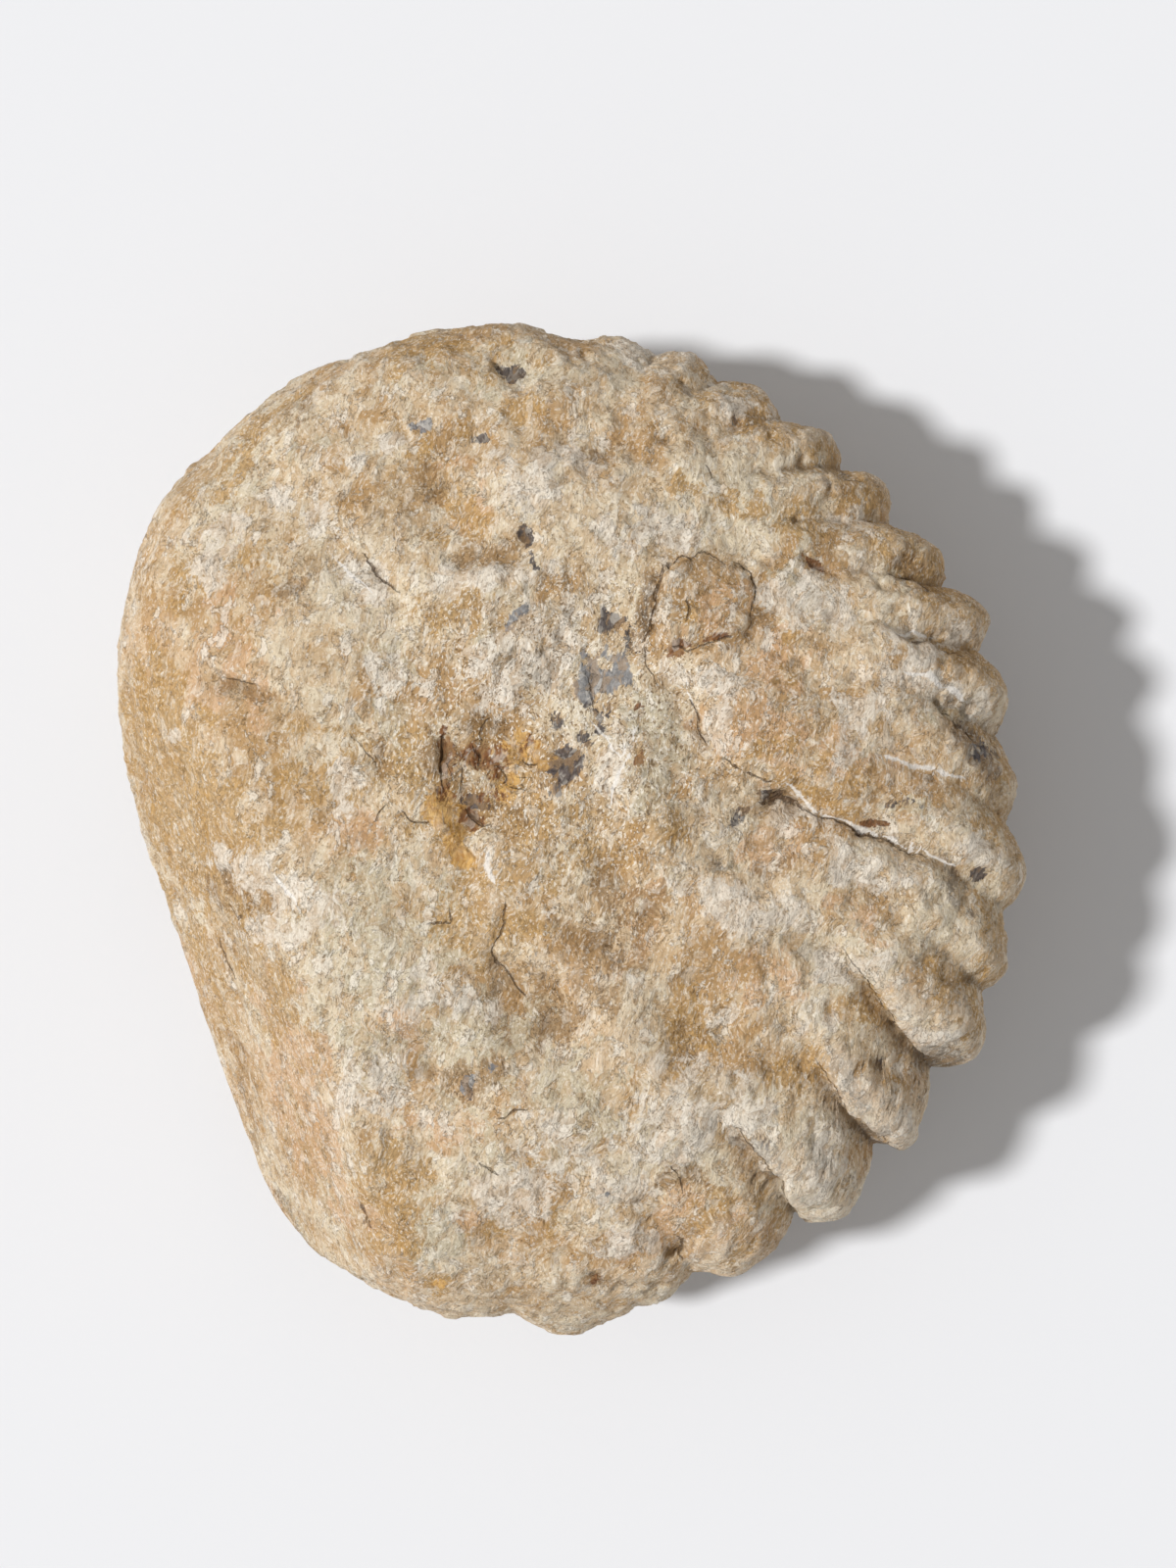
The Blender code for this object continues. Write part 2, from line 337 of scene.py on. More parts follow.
    def edge_radius(self, bearing: Array) -> Array:
        """Distance to the outer edge: a closed cubic curve through the edge's points.

        Args:
            bearing: Degrees about the umbilicus.

        Returns:
            The distance at each bearing, in mm.
        """
        knots = np.array(self.edge, float)
        angles = np.concatenate([knots[:, 0] - 360, knots[:, 0], knots[:, 0] + 360])
        radii = np.tile(knots[:, 1], 3)
        slopes = np.gradient(radii, angles)
        where = np.clip(np.searchsorted(angles, bearing, side="right") - 1, 0, len(angles) - 2)
        span = angles[where + 1] - angles[where]
        t = (bearing - angles[where]) / span
        start = (1 + 2 * t) * (1 - t) ** 2 * radii[where] + t * (1 - t) ** 2 * span * slopes[where]
        end = t * t * (3 - 2 * t) * radii[where + 1] - t * t * (1 - t) * span * slopes[where + 1]
        return start + end

    def rib_height(self, bearing: Array, share: Array) -> Array:
        """Height of the ribbing: the highest rib at each place, with unlike sides and a slow start.

        Args:
            bearing: Degrees about the umbilicus.
            share: Share of the edge's distance.

        Returns:
            The height at each place, in mm.
        """
        height = np.zeros_like(bearing)
        for rib in self.ribs:
            aside = (bearing - rib.tip - rib.lean * (1 - share) + 180) % 360 - 180
            gentle = 1 - np.clip(aside / rib.gentle, 0, 1) ** self.gentle_roundness
            steep = 1 - np.clip(-aside / rib.steep, 0, 1) ** self.steep_roundness
            grown = np.clip((share - rib.root) / (1 - rib.root), 0, 1) ** self.rib_growth
            height = np.maximum(height, rib.rise * np.minimum(gentle, steep) * grown)
        return height

    def swell_height(self, points: Array) -> Array:
        """Slow undulation: a sum of plane waves, each shifted a little more.

        Args:
            points: Places in mm.

        Returns:
            The height at each place, in mm.
        """
        height = np.zeros(len(points))
        for shift, swell in enumerate(self.swells):
            along = points @ (np.array(swell.direction) / np.linalg.norm(swell.direction))
            height += swell.rise * np.sin(2 * np.pi * along / swell.length + 1.7 * shift)
        return height

    def break_off(self, points: Array) -> Array:
        """Moves what lies past each break back to its plane, with a rounded border.

        Args:
            points: Places in mm, one row each.

        Returns:
            The places after every break.
        """
        for flat in self.breaks:
            over = self.break_softness * np.logaddexp(0, flat.past(points) / self.break_softness)
            points = points - np.outer(over, flat.normal)
        return points

    def surface(self, bearing: Array, polar: Array) -> Array:
        """Places of the surface.

        The section is the curve |r|^p + |z|^p = 1 with the edge radius and the rise as its half sizes, and
        ribs, relief and swells are added along its normal before the breaks are cut.

        Args:
            bearing: Degrees about the umbilicus, anticlockwise from east.
            polar: Radians from the middle of the upper flank, pi being that of the lower one.

        Returns:
            Points in mm from the umbilicus and the mid-plane, one row each.
        """
        power = 2 / self.section_power
        share = np.abs(np.sin(polar)) ** power
        level = np.sign(np.cos(polar)) * np.abs(np.cos(polar)) ** power
        upper = level >= 0
        radius = self.edge_radius(bearing)
        thicker = 1 + self.taper * share * np.cos(np.radians(bearing - self.mouth_bearing))
        rise = np.where(upper, self.upper_rise, self.lower_rise) * thicker
        out = np.stack([np.cos(np.radians(bearing)), np.sin(np.radians(bearing))], axis=1)
        points = np.column_stack([out * (radius * share)[:, None], level * rise])

        outward = share ** (self.section_power - 1) / radius
        upward = level * np.abs(level) ** (self.section_power - 2) / rise
        normal = np.column_stack([out * outward[:, None], upward])
        normal /= np.linalg.norm(normal, axis=1)[:, None]

        shoulder = 1 + self.shoulder_swell * np.sin(2 * np.minimum(polar, np.pi - polar)) ** 2
        raised = self.rib_height(bearing, share) * shoulder
        above = sum(oval.height(points[:, 0], points[:, 1]) for oval in self.upper_relief)
        below = sum(oval.height(points[:, 0], points[:, 1]) for oval in self.lower_relief)
        flank = smooth_step(0.0, 0.4, np.abs(level))
        raised += np.where(upper, above, below) * flank
        raised += self.swell_height(points) * (0.4 + 0.6 * flank)
        return self.break_off(points + normal * raised[:, None])


@dataclass(frozen=True)
class Trace:
    """A crack, vein or ledge drawn over the upper flank.

    Attributes:
        route: Places that it passes, east and north of the umbilicus in mm.
        width: Half its width in mm, which tapers to nothing at both ends.
        depth: How deep it is cut in mm.
        drop: How much lower the stone is on the left of its route, going from its first place to its last.
        reach: How far from it that drop fades away, in mm.
    """

    route: tuple[Place, ...]
    width: float
    depth: float = 0.0
    drop: float = 0.0
    reach: float = 4.0


class Stain(Enum):
    """What the stone is stained or crusted with, and the painted shade under its overhangs, named as the
    mesh's fields are.
    """

    OCHRE = "ochre"
    PEACH = "peach"
    UMBER = "umber"
    # Painted shade, where the surface can't overhang as the ribs do.
    PAINTED_SHADE = "dun"
    ASH = "ash"
    CHALK = "chalk"
    SLATE = "slate"
    CHARCOAL = "charcoal"
    RUST = "rust"
    AMBER = "amber"


@dataclass
class TraceField:
    """Traces turned into fields over the surface: signed distance and half width, and their relief."""

    traces: tuple[Trace, ...]
    fade: float = 2.5

    def fields(self, east: Array, north: Array) -> tuple[Array, Array, Array]:
        """Works out the nearest trace at each place.

        The distance is to the nearest point of the route, signed by the side it lies on. The half width
        tapers along the route as the root of a half sine and falls to nothing at the fade distance.

        Args:
            east: Places, mm east of the umbilicus.
            north: And north of it.

        Returns:
            The signed distance, the half width and the height that the traces add.
        """
        distance = np.full(len(east), 2 * self.fade)
        width = np.zeros(len(east))
        relief = np.zeros(len(east))
        for trace in self.traces:
            signed, along = self.follow(self.rounded(trace.route), east, north)
            gap = np.abs(signed)
            taper = np.sqrt(np.sin(np.pi * np.clip(along, 0, 1)))
            near = gap < np.abs(distance)
            distance = np.where(near, signed, distance)
            width = np.where(near, trace.width * taper * np.clip(1 - gap / self.fade, 0, 1), width)
            relief -= trace.depth * taper * np.exp(-((gap / (trace.width + 0.45)) ** 2))
            lower_side = smooth_step(-0.5, 0.5, signed)
            relief -= trace.drop * taper * lower_side * np.exp(-((gap / trace.reach) ** 2))
        return np.clip(distance, -2 * self.fade, 2 * self.fade), width, relief

    @staticmethod
    def rounded(route: tuple[Place, ...]) -> Array:
        """Cuts a route's corners twice over, at a quarter and three quarters of each stretch.

        Args:
            route: Its places.

        Returns:
            The places of the rounded route, one row each.
        """
        places = np.array(route)
        for _ in range(2):
            start, stop = places[:-1], places[1:]
            cut = np.stack([0.75 * start + 0.25 * stop, 0.25 * start + 0.75 * stop], axis=1).reshape(-1, 2)
            places = np.concatenate([places[:1], cut, places[-1:]])
        return places

    @staticmethod
    def follow(route: Array, east: Array, north: Array) -> tuple[Array, Array]:
        """Finds the nearest point of a route, stretch by stretch.

        Args:
            route: Its places, one row each.
            east: Places, mm east of the umbilicus.
            north: And north of it.

        Returns:
            The distance to the route, positive on its left, and the share of its length passed.
        """
        lengths = np.hypot(*np.diff(route, axis=0).T)
        passed = np.concatenate([[0], np.cumsum(lengths)]) / lengths.sum()
        best = np.full(len(east), np.inf)
        signed = np.zeros(len(east))
        along = np.zeros(len(east))
        for index, length in enumerate(lengths):
            step = (route[index + 1] - route[index]) / length
            ahead = (east - route[index, 0]) * step[0] + (north - route[index, 1]) * step[1]
            aside = (north - route[index, 1]) * step[0] - (east - route[index, 0]) * step[1]
            inside = np.clip(ahead, 0, length)
            gap = np.hypot(aside, ahead - inside)
            near = gap < best
            best = np.where(near, gap, best)
            signed = np.where(near, np.copysign(gap, aside), signed)
            reached = passed[index] + (passed[index + 1] - passed[index]) * inside / length
            along = np.where(near, reached, along)
        return signed, along


CRACKS: tuple[Trace, ...] = (
    # The seam round the knob where an inner whorl ends.
    Trace(((9.1, 13.8), (9.8, 19.0), (10.4, 21.7), (11.8, 23.8), (13.3, 24.9)), 0.34, 1.1, -0.5),
    Trace(((12.3, 24.7), (13.9, 25.7), (16.1, 26.6), (18.2, 26.8), (20.5, 25.6)), 0.08, 0.5),
    Trace(((21.5, 26.2), (23.4, 25.4), (24.9, 23.3), (25.5, 21.1), (25.1, 18.8), (24.4, 16.3)), 0.11, 0.6),
    Trace(((12.9, 13.3), (15.2, 12.5), (17.2, 13.0), (18.9, 13.9), (22.2, 14.8)), 0.15, 0.5),
    # Beside the swelling of the same whorl.
    Trace(((15.7, 6.2), (16.5, 4.2), (17.3, 2.5), (17.7, 0.0)), 0.21, 0.8),
    Trace(((19.8, -1.7), (21.4, -2.6), (23.4, -4.1), (27.4, -5.6)), 0.11, 0.5),
    Trace(((25.2, -8.4), (27.6, -7.8), (29.5, -8.3), (31.8, -9.2)), 0.31, 0.9),
    Trace(((31.0, -8.8), (35.8, -10.9), (40.0, -12.6), (44.5, -14.2), (49.8, -16.5)), 0.16, 0.9),
    # Creases above the ribs.
    Trace(((45.1, 15.3), (48.6, 14.6), (52.4, 13.8), (55.9, 12.7)), 0.14, 0.5, 0.6, 2.5),
    Trace(((43.8, 24.1), (47.8, 23.7), (50.8, 22.6), (53.5, 20.5)), 0.12, 0.4, 0.5, 2.5),
    Trace(((35.3, 38.7), (38.1, 39.0), (41.2, 38.1)), 0.12, 0.4, 0.5, 2.5),
    Trace(((49.7, 6.1), (52.9, 4.3), (56.3, 1.9), (58.5, -0.9)), 0.10, 0.4, 0.6, 2.5),
    Trace(((18.0, 39.0), (18.4, 37.8), (18.2, 36.9)), 0.18, 0.4),
    Trace(((15.2, 20.5), (15.6, 18.6), (15.2, 17.2)), 0.14, 0.3),
    # In and round the rusty pocket.
    Trace(((-12.6, 3.3), (-13.2, 1.6), (-13.0, 0.1)), 0.22, 0.6),
    Trace(((-18.0, 1.2), (-19.0, -2.2), (-19.2, -4.8), (-18.8, -6.6)), 0.15, 0.8),
    Trace(((-16.6, -3.5), (-15.9, -5.4), (-16.4, -7.3)), 0.16, 0.5),
    Trace(((-8.0, -2.4), (-6.5, -3.7), (-5.2, -3.2)), 0.10, 0.3),
    Trace(((-14.9, -0.6), (-13.7, -1.9), (-13.9, -3.3)), 0.15, 0.5),
    Trace(((-11.5, -2.8), (-10.4, -4.3), (-10.9, -5.6)), 0.13, 0.5),
    Trace(((-9.7, -6.3), (-8.2, -6.0), (-6.9, -6.9)), 0.15, 0.4),
    Trace(((-15.6, -9.6), (-14.3, -10.9), (-12.3, -11.3)), 0.17, 0.5),
    # Fine cracks of the middle.
    Trace(((9.0, 13.4), (9.7, 10.8), (11.0, 7.9)), 0.10, 0.3),
    Trace(((1.4, 9.3), (1.7, 7.2), (1.9, 4.8)), 0.10, 0.3),
    Trace(((-10.1, -22.1), (-10.5, -26.2), (-12.2, -29.7), (-9.5, -33.2), (-6.8, -36.0)), 0.15, 0.7),
    Trace(((-21.2, -25.7), (-19.5, -25.0), (-17.8, -24.8), (-17.8, -22.4)), 0.10, 0.3),
    Trace(((-24.4, -9.8), (-23.1, -11.1), (-20.8, -10.6)), 0.10, 0.3),
    Trace(((-26.8, -8.8), (-27.6, -9.6), (-28.2, -10.9)), 0.10, 0.3),
    Trace(((-31.4, 1.2), (-29.9, -1.3), (-28.7, -2.4), (-27.8, -4.5)), 0.05, 0.3),
    Trace(((-30.7, 26.8), (-28.2, 23.6), (-24.9, 20.9)), 0.10, 0.5),
    # The smooth left side and the chipped patch.
    Trace(((-51.3, 9.2), (-48.8, 8.6), (-46.8, 8.8), (-44.0, 7.2)), 0.05, 0.3),
    Trace(((-49.8, -23.2), (-49.2, -24.4), (-48.0, -25.5)), 0.15, 0.5),
    # The last whorl.
    Trace(((-11.6, -52.4), (-9.1, -51.7), (-6.7, -51.5)), 0.10, 0.2),
    Trace(((-13.7, -59.2), (-12.6, -60.2), (-11.3, -60.8)), 0.16, 0.5),
    Trace(((14.3, -70.5), (14.8, -72.2), (14.7, -74.0)), 0.20, 0.6),
    Trace(((13.6, -59.9), (14.7, -61.3), (14.6, -63.4)), 0.14, 0.4),
    Trace(((-31.4, -65.7), (-31.0, -67.7), (-30.0, -69.2)), 0.21, 0.7),
    Trace(((-52.4, -28.3), (-51.8, -31.7), (-50.1, -34.6)), 0.12, 0.4),
    # Feet of the shingled ribs, which stand over the next rib.
    Trace(((37.1, -28.4), (39.5, -31.6), (43.0, -36.7), (46.3, -40.9), (51.0, -46.4)), 0.10, 0.3, -1.5, 4.0),
    Trace(((32.9, -44.0), (34.9, -46.3), (37.3, -49.8), (40.7, -53.4), (49.0, -61.0)), 0.10, 0.3, -1.7, 4.0),
    Trace(((21.5, -53.0), (24.1, -56.1), (27.2, -60.0), (29.5, -63.2), (35.0, -72.5)), 0.10, 0.3, -1.5, 4.0),
)

VEINS: tuple[Trace, ...] = (
    Trace(((45.1, 15.7), (47.8, 16.0), (50.8, 15.0)), 0.30),
    Trace(((47.8, 9.9), (52.8, 8.3), (55.6, 5.7)), 0.45),
    Trace(((45.4, 10.2), (49.2, 9.4), (53.0, 8.0)), 0.55),
    Trace(((43.2, -2.2), (48.5, -3.0), (55.2, -5.2)), 0.65),
    Trace(((29.5, -5.8), (33.1, -9.1), (37.1, -11.2)), 0.34),
    Trace(((36.1, -10.5), (42.0, -12.9), (46.9, -14.6), (54.1, -17.5)), 0.42),
    Trace(((8.4, 1.9), (6.5, -2.8), (5.1, -5.8), (4.2, -8.8)), 0.55),
    Trace(((1.6, 3.2), (4.0, 0.2), (7.2, -3.2)), 0.16),
    Trace(((15.2, 8.4), (15.9, 6.3), (16.1, 5.0)), 0.26),
    Trace(((-12.1, -15.0), (-12.7, -17.6), (-11.9, -19.7)), 0.42),
    Trace(((-34.1, 25.4), (-31.2, 23.0), (-28.8, 20.7)), 0.50),
    Trace(((-43.5, -17.0), (-40.1, -21.1), (-39.1, -24.3)), 0.40),
)

# Where each stain lies on the upper side: ovals' east, north, half length and half width, in mm, then their
# turn and rise, which are 0 and 1 where they are left out.
PATCHES: dict[Stain, tuple[tuple[float, ...], ...]] = {
    # Strongest along the left edge and on the tips of the ribs.
    Stain.OCHRE: (
        (-56, -10, 15, 8.5, -71), (-55.5, -33, 9, 2.6, -71, 0.7), (-48, -10, 12, 8, -60, 0.42),
        (-12.5, -4.2, 7.8, 7, 0, 0.7), (-16.5, -15, 5, 3.5, -70, 0.6), (-25.5, -3, 6, 5, 0, 0.45),
        (-20, -9, 5, 5, 0, 0.5), (-16, -24, 5, 5, 0, 0.45), (-4, -14, 7, 5, 0, 0.42),
        (-9.5, -25, 8, 5, 0, 0.42), (-15, 18.5, 7, 5, 0, 0.42), (-52, 28, 9, 6, 60, 0.42),
        (40, -37.5, 6, 5, 0, 0.42), (-60.2, 3.6, 11, 5, -85, 0.95), (15.8, 18.7, 2.6, 2, 80, 0.9),
        (35.6, -5.8, 6, 3.6, -15, 0.65), (12.3, -11.9, 3, 2.4, 0, 0.8), (-21, 56.7, 6, 2.6, 14, 0.9),
        (-7.6, 47.8, 3.2, 2, 0, 0.8), (15.4, -40.1, 6.4, 3.8, 80), (33.1, -45, 5.4, 3.6, 30, 0.9),
        (39.4, 36.1, 6.6, 3, -10), (48.1, 26.9, 6, 2.8, -25), (55.1, 19.6, 5, 1.7, -38, 0.9),
        (57.6, 10.6, 5.4, 2.4, -45, 0.9), (61, -3.1, 5, 1.8, 80, 0.9), (62.1, -17.6, 4.6, 1.4, -75, 0.8),
        (59.9, -28.3, 5.4, 1.8, -78, 0.9), (57, -40.4, 5, 1.9, 80, 0.9), (52.4, -35.5, 5.2, 1.5, -62, 0.9),
        (-25.9, -66, 9, 3.4, 84, 0.9), (-19.5, -76.5, 3.2, 1.6, 0, 0.9), (-47.3, 42.4, 12, 3, 48, 0.6),
        (32.7, 31.5, 6, 3.4, -30, 0.5), (44.3, -50.2, 2.4, 2, 0, 0.8), (58.7, -33.1, 3, 1.6, 70, 0.8),
        (21.2, -68.3, 9, 7, 0, 0.4), (-8, -9, 9, 7, 0, 0.5), (-37, -3, 9, 6, 0, 0.42),
        (-49, -15, 8, 6, -70, 0.45), (-43, -37, 10, 6, -70, 0.45), (-27, -62, 8, 6, 0, 0.45),
        (-14, -25.5, 8, 6, 0, 0.45), (-15, 30, 7, 6, 0, 0.5), (-16, 56, 12, 4, 0, 0.45),
        (-20, 42, 9, 5, 0, 0.45), (29, -3, 8, 5, 0, 0.45), (20, 35.5, 8, 4, -15, 0.45),
        (-50, 24, 8, 7, 0, 0.45), (7.5, -14, 6, 6, 0, 0.45), (-10, -66.5, 8, 5, 0, 0.45),
        (28.6, 12.6, 3, 4, 0, 0.8),
    ),
    # Where the stone is worn smooth.
    Stain.PEACH: (
        (17.6, 19.6, 8.2, 7.2, 0, 0.4), (28, 0.8, 10, 6, -15), (29.6, 12.4, 4.2, 3, 30, 0.9),
        (-40.1, -47.6, 17, 5.6, -78, 0.8), (-32.7, -63.9, 12, 4.4, -52, 0.6), (7.1, -71.2, 4.4, 3, 0, 0.7),
        (-16.5, 33, 7.6, 5, 86, 0.4), (-24.5, -41.3, 3.6, 3.4, 0, 0.8), (8.3, -24.8, 9.4, 3.8, 80, 0.4),
        (39.5, -25, 6, 3.2, -20, 0.6), (-18.4, 5.1, 4.4, 4, 0, 0.5), (-19.1, -54.3, 6.6, 3.4, 0, 0.5),
        (39.6, -3.1, 5, 4, 0, 0.5), (-14.4, -67.3, 2.2, 1.7, 0, 0.9), (16.7, -66.8, 5.4, 4.8, 0, 0.7),
        (-49.2, 13, 14, 10, 90, 0.35), (26.5, -14.5, 4.2, 3, 0, 0.7), (-32, -12.6, 5, 4, 0, 0.5),
        (25.5, -33.3, 7, 5, 0, 0.45),
    ),
    # Brown, in pits and hollows.
    Stain.UMBER: (
        (2, -36, 6, 4, 0, 0.5), (7, -23.5, 8.5, 6.5, 80, 0.5), (-15, -46.7, 5, 4, 0, 0.4),
        (-18.6, 37.3, 5, 3.4, 80, 0.56), (-13.3, 26.2, 5.5, 2, 5, 0.56), (-47.7, 8.4, 6.2, 1.6, -12, 0.62),
        (-40.5, 46.6, 4.2, 2.3, 62, 0.5), (-48.8, -22.4, 4.8, 3.6, -40, 0.62),
        (-39.7, 23, 4.2, 3.9, 0, 0.34), (-6.7, -37.1, 7, 5.2, -35, 0.62), (10.1, 21, 5.6, 1.4, 78, 0.8),
        (-12.7, -4.1, 8, 7.4, 0, 0.6), (57, -1, 4.5, 3, -62, 0.8), (5.6, 41.2, 6.2, 2.6, 0, 0.5),
        (33.5, 25.3, 1.6, 1.2, -40, 0.9), (36.3, 36.5, 3.2, 1.8, 0, 0.56), (47.9, 27.3, 2.8, 3.4, 0, 0.5),
        (-28.2, -1.8, 3.8, 2.1, -58, 0.56), (2.9, -77.3, 3, 1.6, -10, 0.62),
        (14.3, -72.3, 1.6, 2.4, 0, 0.8), (41.1, -44.2, 5, 1.6, -68, 0.31), (27.5, -16.8, 3.5, 2.1, 0, 0.43),
        (23.9, -56.5, 3.2, 1.8, -60, 0.43), (-51.4, -46, 5, 1.3, -56, 0.5), (-52, -60, 6.2, 1.2, -60, 0.5),
        (-2.7, -28.5, 6.2, 5.2, 0, 0.31), (15, -41.5, 3.6, 3, 60, 0.6), (15.5, -61.5, 4.5, 2.6, 0, 0.6),
    ),
    # Painted shade in a dull grey-brown: under the overhanging tips, on the backs of ribs, at the knob's seam
    # and in a few creases.
    Stain.PAINTED_SHADE: (
        (50.7, -44.7, 5.2, 1.9, -25), (42.7, -55.9, 3.8, 1.7, -32), (58.3, -0.9, 3.8, 2.2, -62, 0.9),
        (55.3, 4.3, 5.6, 1.1, -48, 0.5), (57.8, 25.7, 2.4, 1.2, -60, 0.4), (37.1, -45.7, 6, 1.6, -58, 0.55),
        (25.2, -58.3, 5, 3, -50, 0.5), (53.9, -20.5, 6, 1.2, -62, 0.7), (19.6, -17.4, 3, 1.2, 10, 0.6),
        (10, 20.5, 4, 0.9, 75, 0.7),
    ),
    # A cool cream grey.
    Stain.ASH: (
        (51.5, 5, 4, 2.2, -40, 0.9), (-26.5, -25.5, 10.4, 9), (-30.2, -42.9, 4, 6),
        (-15, -41.9, 12, 8, 0, 0.9), (0.1, -50.2, 7, 6, 0, 0.9), (-20.7, -69.5, 3.6, 4.8),
        (10.7, -2.8, 12, 4.2, 100, 0.8), (-12.3, 15.4, 3.4, 1.8, 60, 0.9), (48.1, -9.6, 4.4, 2, -10, 0.8),
        (-43.1, 38.7, 4, 1.6, 40, 0.7), (-36.1, 42.9, 3.2, 1.4, 10, 0.7), (20.2, -17.8, 3.4, 1.4),
        (-26.3, 5.3, 4, 10, 0, 0.7), (29.6, 24.5, 5, 8, 0, 0.5), (-35.7, -22.9, 6, 6, 0, 0.6),
        (-15.4, 53.8, 12, 4, 4, 0.5), (-9.4, -58.9, 9, 5, 0, 0.6), (55.7, 4.6, 3, 2, -50, 0.9),
    ),
    # White crust.
    Stain.CHALK: (
        (-26.5, -47.2, 5, 5, 0, 0.55), (28.9, -25.2, 5, 4, 0, 0.45), (-4, 40.5, 6, 5, 0, 0.45),
        (-25.8, 7.8, 6, 5, 0, 0.55), (-4, -57.5, 8, 5, 0, 0.42), (-15.5, -35, 6, 5, 0, 0.5),
        (7, -69.5, 6, 4, 0, 0.42), (-2, 13.5, 7, 5, 60, 0.5), (4.8, -4.4, 5, 2.2, 62, 0.9),
        (-41, -19.8, 8.6, 4.2, -22), (-39.5, -26.6, 7.4, 2.8, 0, 0.9), (-50.3, -16.9, 4, 2, 20, 0.8),
        (-29.6, 22, 5.6, 2, -48, 0.8), (-12.1, 22.9, 8.2, 2, 6, 0.9), (-10.5, 14.3, 5.4, 1.7, 42, 0.9),
        (39.9, 5, 3.2, 2.2, 20), (37.1, -1.8, 2, 2.6, 0, 0.9), (56.9, -15.6, 3.8, 2.3, -20),
        (31.8, 20.6, 6, 4.4, 0, 0.8), (12.4, 30.5, 6.4, 3.8, 0, 0.8), (-6.8, 36.6, 5, 4, 0, 0.8),
        (-33.2, 40.3, 2.2, 1.2), (-27, 42.8, 2.2, 1, 20), (19.4, -22.3, 5.8, 3.4, -16),
        (14.1, -56.4, 6.4, 4.6, 0, 0.9), (22.8, -51.5, 5, 4, -30, 0.8), (19.6, -37.9, 1.6, 1.5),
        (-57, 0.5, 1.8, 1.1), (18.4, 8.9, 6, 2, -16), (37.7, 31.9, 4.4, 1.8, -20, 0.8),
        (54.3, 16.5, 2.6, 2.3, 0, 0.9), (58.4, 5.6, 3, 1.9, 60, 0.9), (51.1, -41.8, 4.4, 1.6, -26, 0.9),
        (45.3, -51.3, 3, 4, 0, 0.6), (35, -58.5, 3.6, 6.4, 0, 0.7), (-32.2, -5.6, 4.2, 2.4, 80, 0.9),
        (-8, 8.7, 6, 3.2, 35, 0.8), (39.9, -17.9, 8, 2.8, -24, 0.7), (38.1, -30.7, 5, 3, 0, 0.6),
        (49.8, 8, 5, 1.7, -16, 0.8), (-12.3, -64, 8, 2, 0, 0.7), (-8.2, -66.7, 3.2, 1.8, 0, 0.9),
        (4.3, -63, 4, 5, 0, 0.6), (-49.6, 28.4, 8, 3.6, 50, 0.6), (-38.1, 32.2, 5.6, 2.4, -30, 0.6),
        (12, 57, 6, 3, -10, 0.7), (23.4, 48.4, 5, 3, -20, 0.6), (30.4, -10.5, 3.6, 1.6, -10, 0.9),
        (20.8, 1.9, 2.6, 5.4, 0, 0.6), (33.7, -38.7, 4, 3.4, 0, 0.7), (5.3, 28.9, 4, 2.6, 0, 0.6),
        (46.5, 8.4, 5, 3, -30, 0.8), (47, 14, 6, 3, -20, 0.5), (36, 3, 5, 4, 0, 0.42),
        (35, -12, 5, 3, -20, 0.5), (-21, -36, 6, 5, 0, 0.5), (-30, -48, 5, 5, 0, 0.5),
        (-8, -58, 6, 4, 0, 0.5), (14, -47, 6, 4, 0, 0.5),
    ),
    # This and charcoal are the dark mineral of the middle.
    Stain.SLATE: (
        (4.2, 9.9, 4.2, 3.6, 38), (-8.9, 17.3, 1.8, 1, 40, 0.7), (-15.8, -49.6, 3, 1.2, 55, 0.52),
        (-12.2, -45.4, 2, 0.8, 20, 0.5), (1.5, -63.6, 2.8, 1.4, 20, 0.52), (-22.2, 46.2, 1.8, 0.9, 20, 0.9),
    ),
    Stain.CHARCOAL: (
        (4.2, 16.8, 2.4, 1.7, -20, 0.8), (7.3, 14.1, 1.9, 1.4, -40, 0.8), (-3.2, 3, 0.9, 1.4, 0, 0.9),
        (2.9, 2.8, 3.8, 2.2, 35, 0.6), (1.8, 0.4, 1.6, 1.3, -30, 0.6), (-1.7, -3, 3.2, 1.9, 74, 0.85),
        (-7.9, 27.8, 1.5, 0.7, -58, 0.75), (-5.9, 24.9, 1.1, 0.6, -50, 0.65),
        (-14.9, -8.5, 2.4, 1.4, -6, 0.9), (27.8, -8, 2.6, 0.7, -8, 0.9), (21.9, -9.9, 1.6, 1, 60, 0.8),
        (-9, 53, 2.1, 1.5, -20, 0.9), (42, -45.7, 1.2, 0.9, 0, 0.9), (27, -55.7, 1.9, 1, -20, 0.8),
        (-14.1, 42.7, 1.1, 0.8, 0, 0.9), (-14.3, -48.5, 2, 0.6, 50, 0.62), (57.6, -19.5, 1.4, 0.8, 0, 0.8),
        (58.5, -1.5, 2.2, 1.6, -60, 0.55), (46.9, -9.2, 3.4, 1, -20, 0.55), (21.7, 45.6, 1.2, 0.8, 60, 0.6),
        (12.7, -44.8, 1, 1.4, 0, 0.55),
    ),
    # This and amber are the iron of the pocket and of the knob's foot.
    Stain.RUST: (
        (-12.5, -4.2, 8, 7.2, 0, 0.24), (14.1, 12.8, 2.4, 1.1), (33.5, 25, 1.6, 0.8, -40, 0.55),
        (19.5, 14.1, 2.6, 0.5, 20, 0.9), (9.2, -2.4, 0.9, 1.2, 0, 0.9), (8.9, 4.4, 0.9, 0.7, 0, 0.9),
        (42.2, -11.4, 2, 0.8, -14), (-14.6, -11.6, 2, 0.8, -50, 0.8), (-18.8, -2.8, 3.4, 0.6, 84, 0.6),
        (-6.9, 0.2, 1.6, 1.2, 0, 0.7), (2.8, -77.5, 1.4, 0.8, -30, 0.9),
    ),
    Stain.AMBER: (
        (-10.5, -3.6, 7, 6, 0, 0.24), (-10, -4.6, 2.8, 1.5, 38, 0.8), (-19.3, -9.4, 2.8, 1.7, -70),
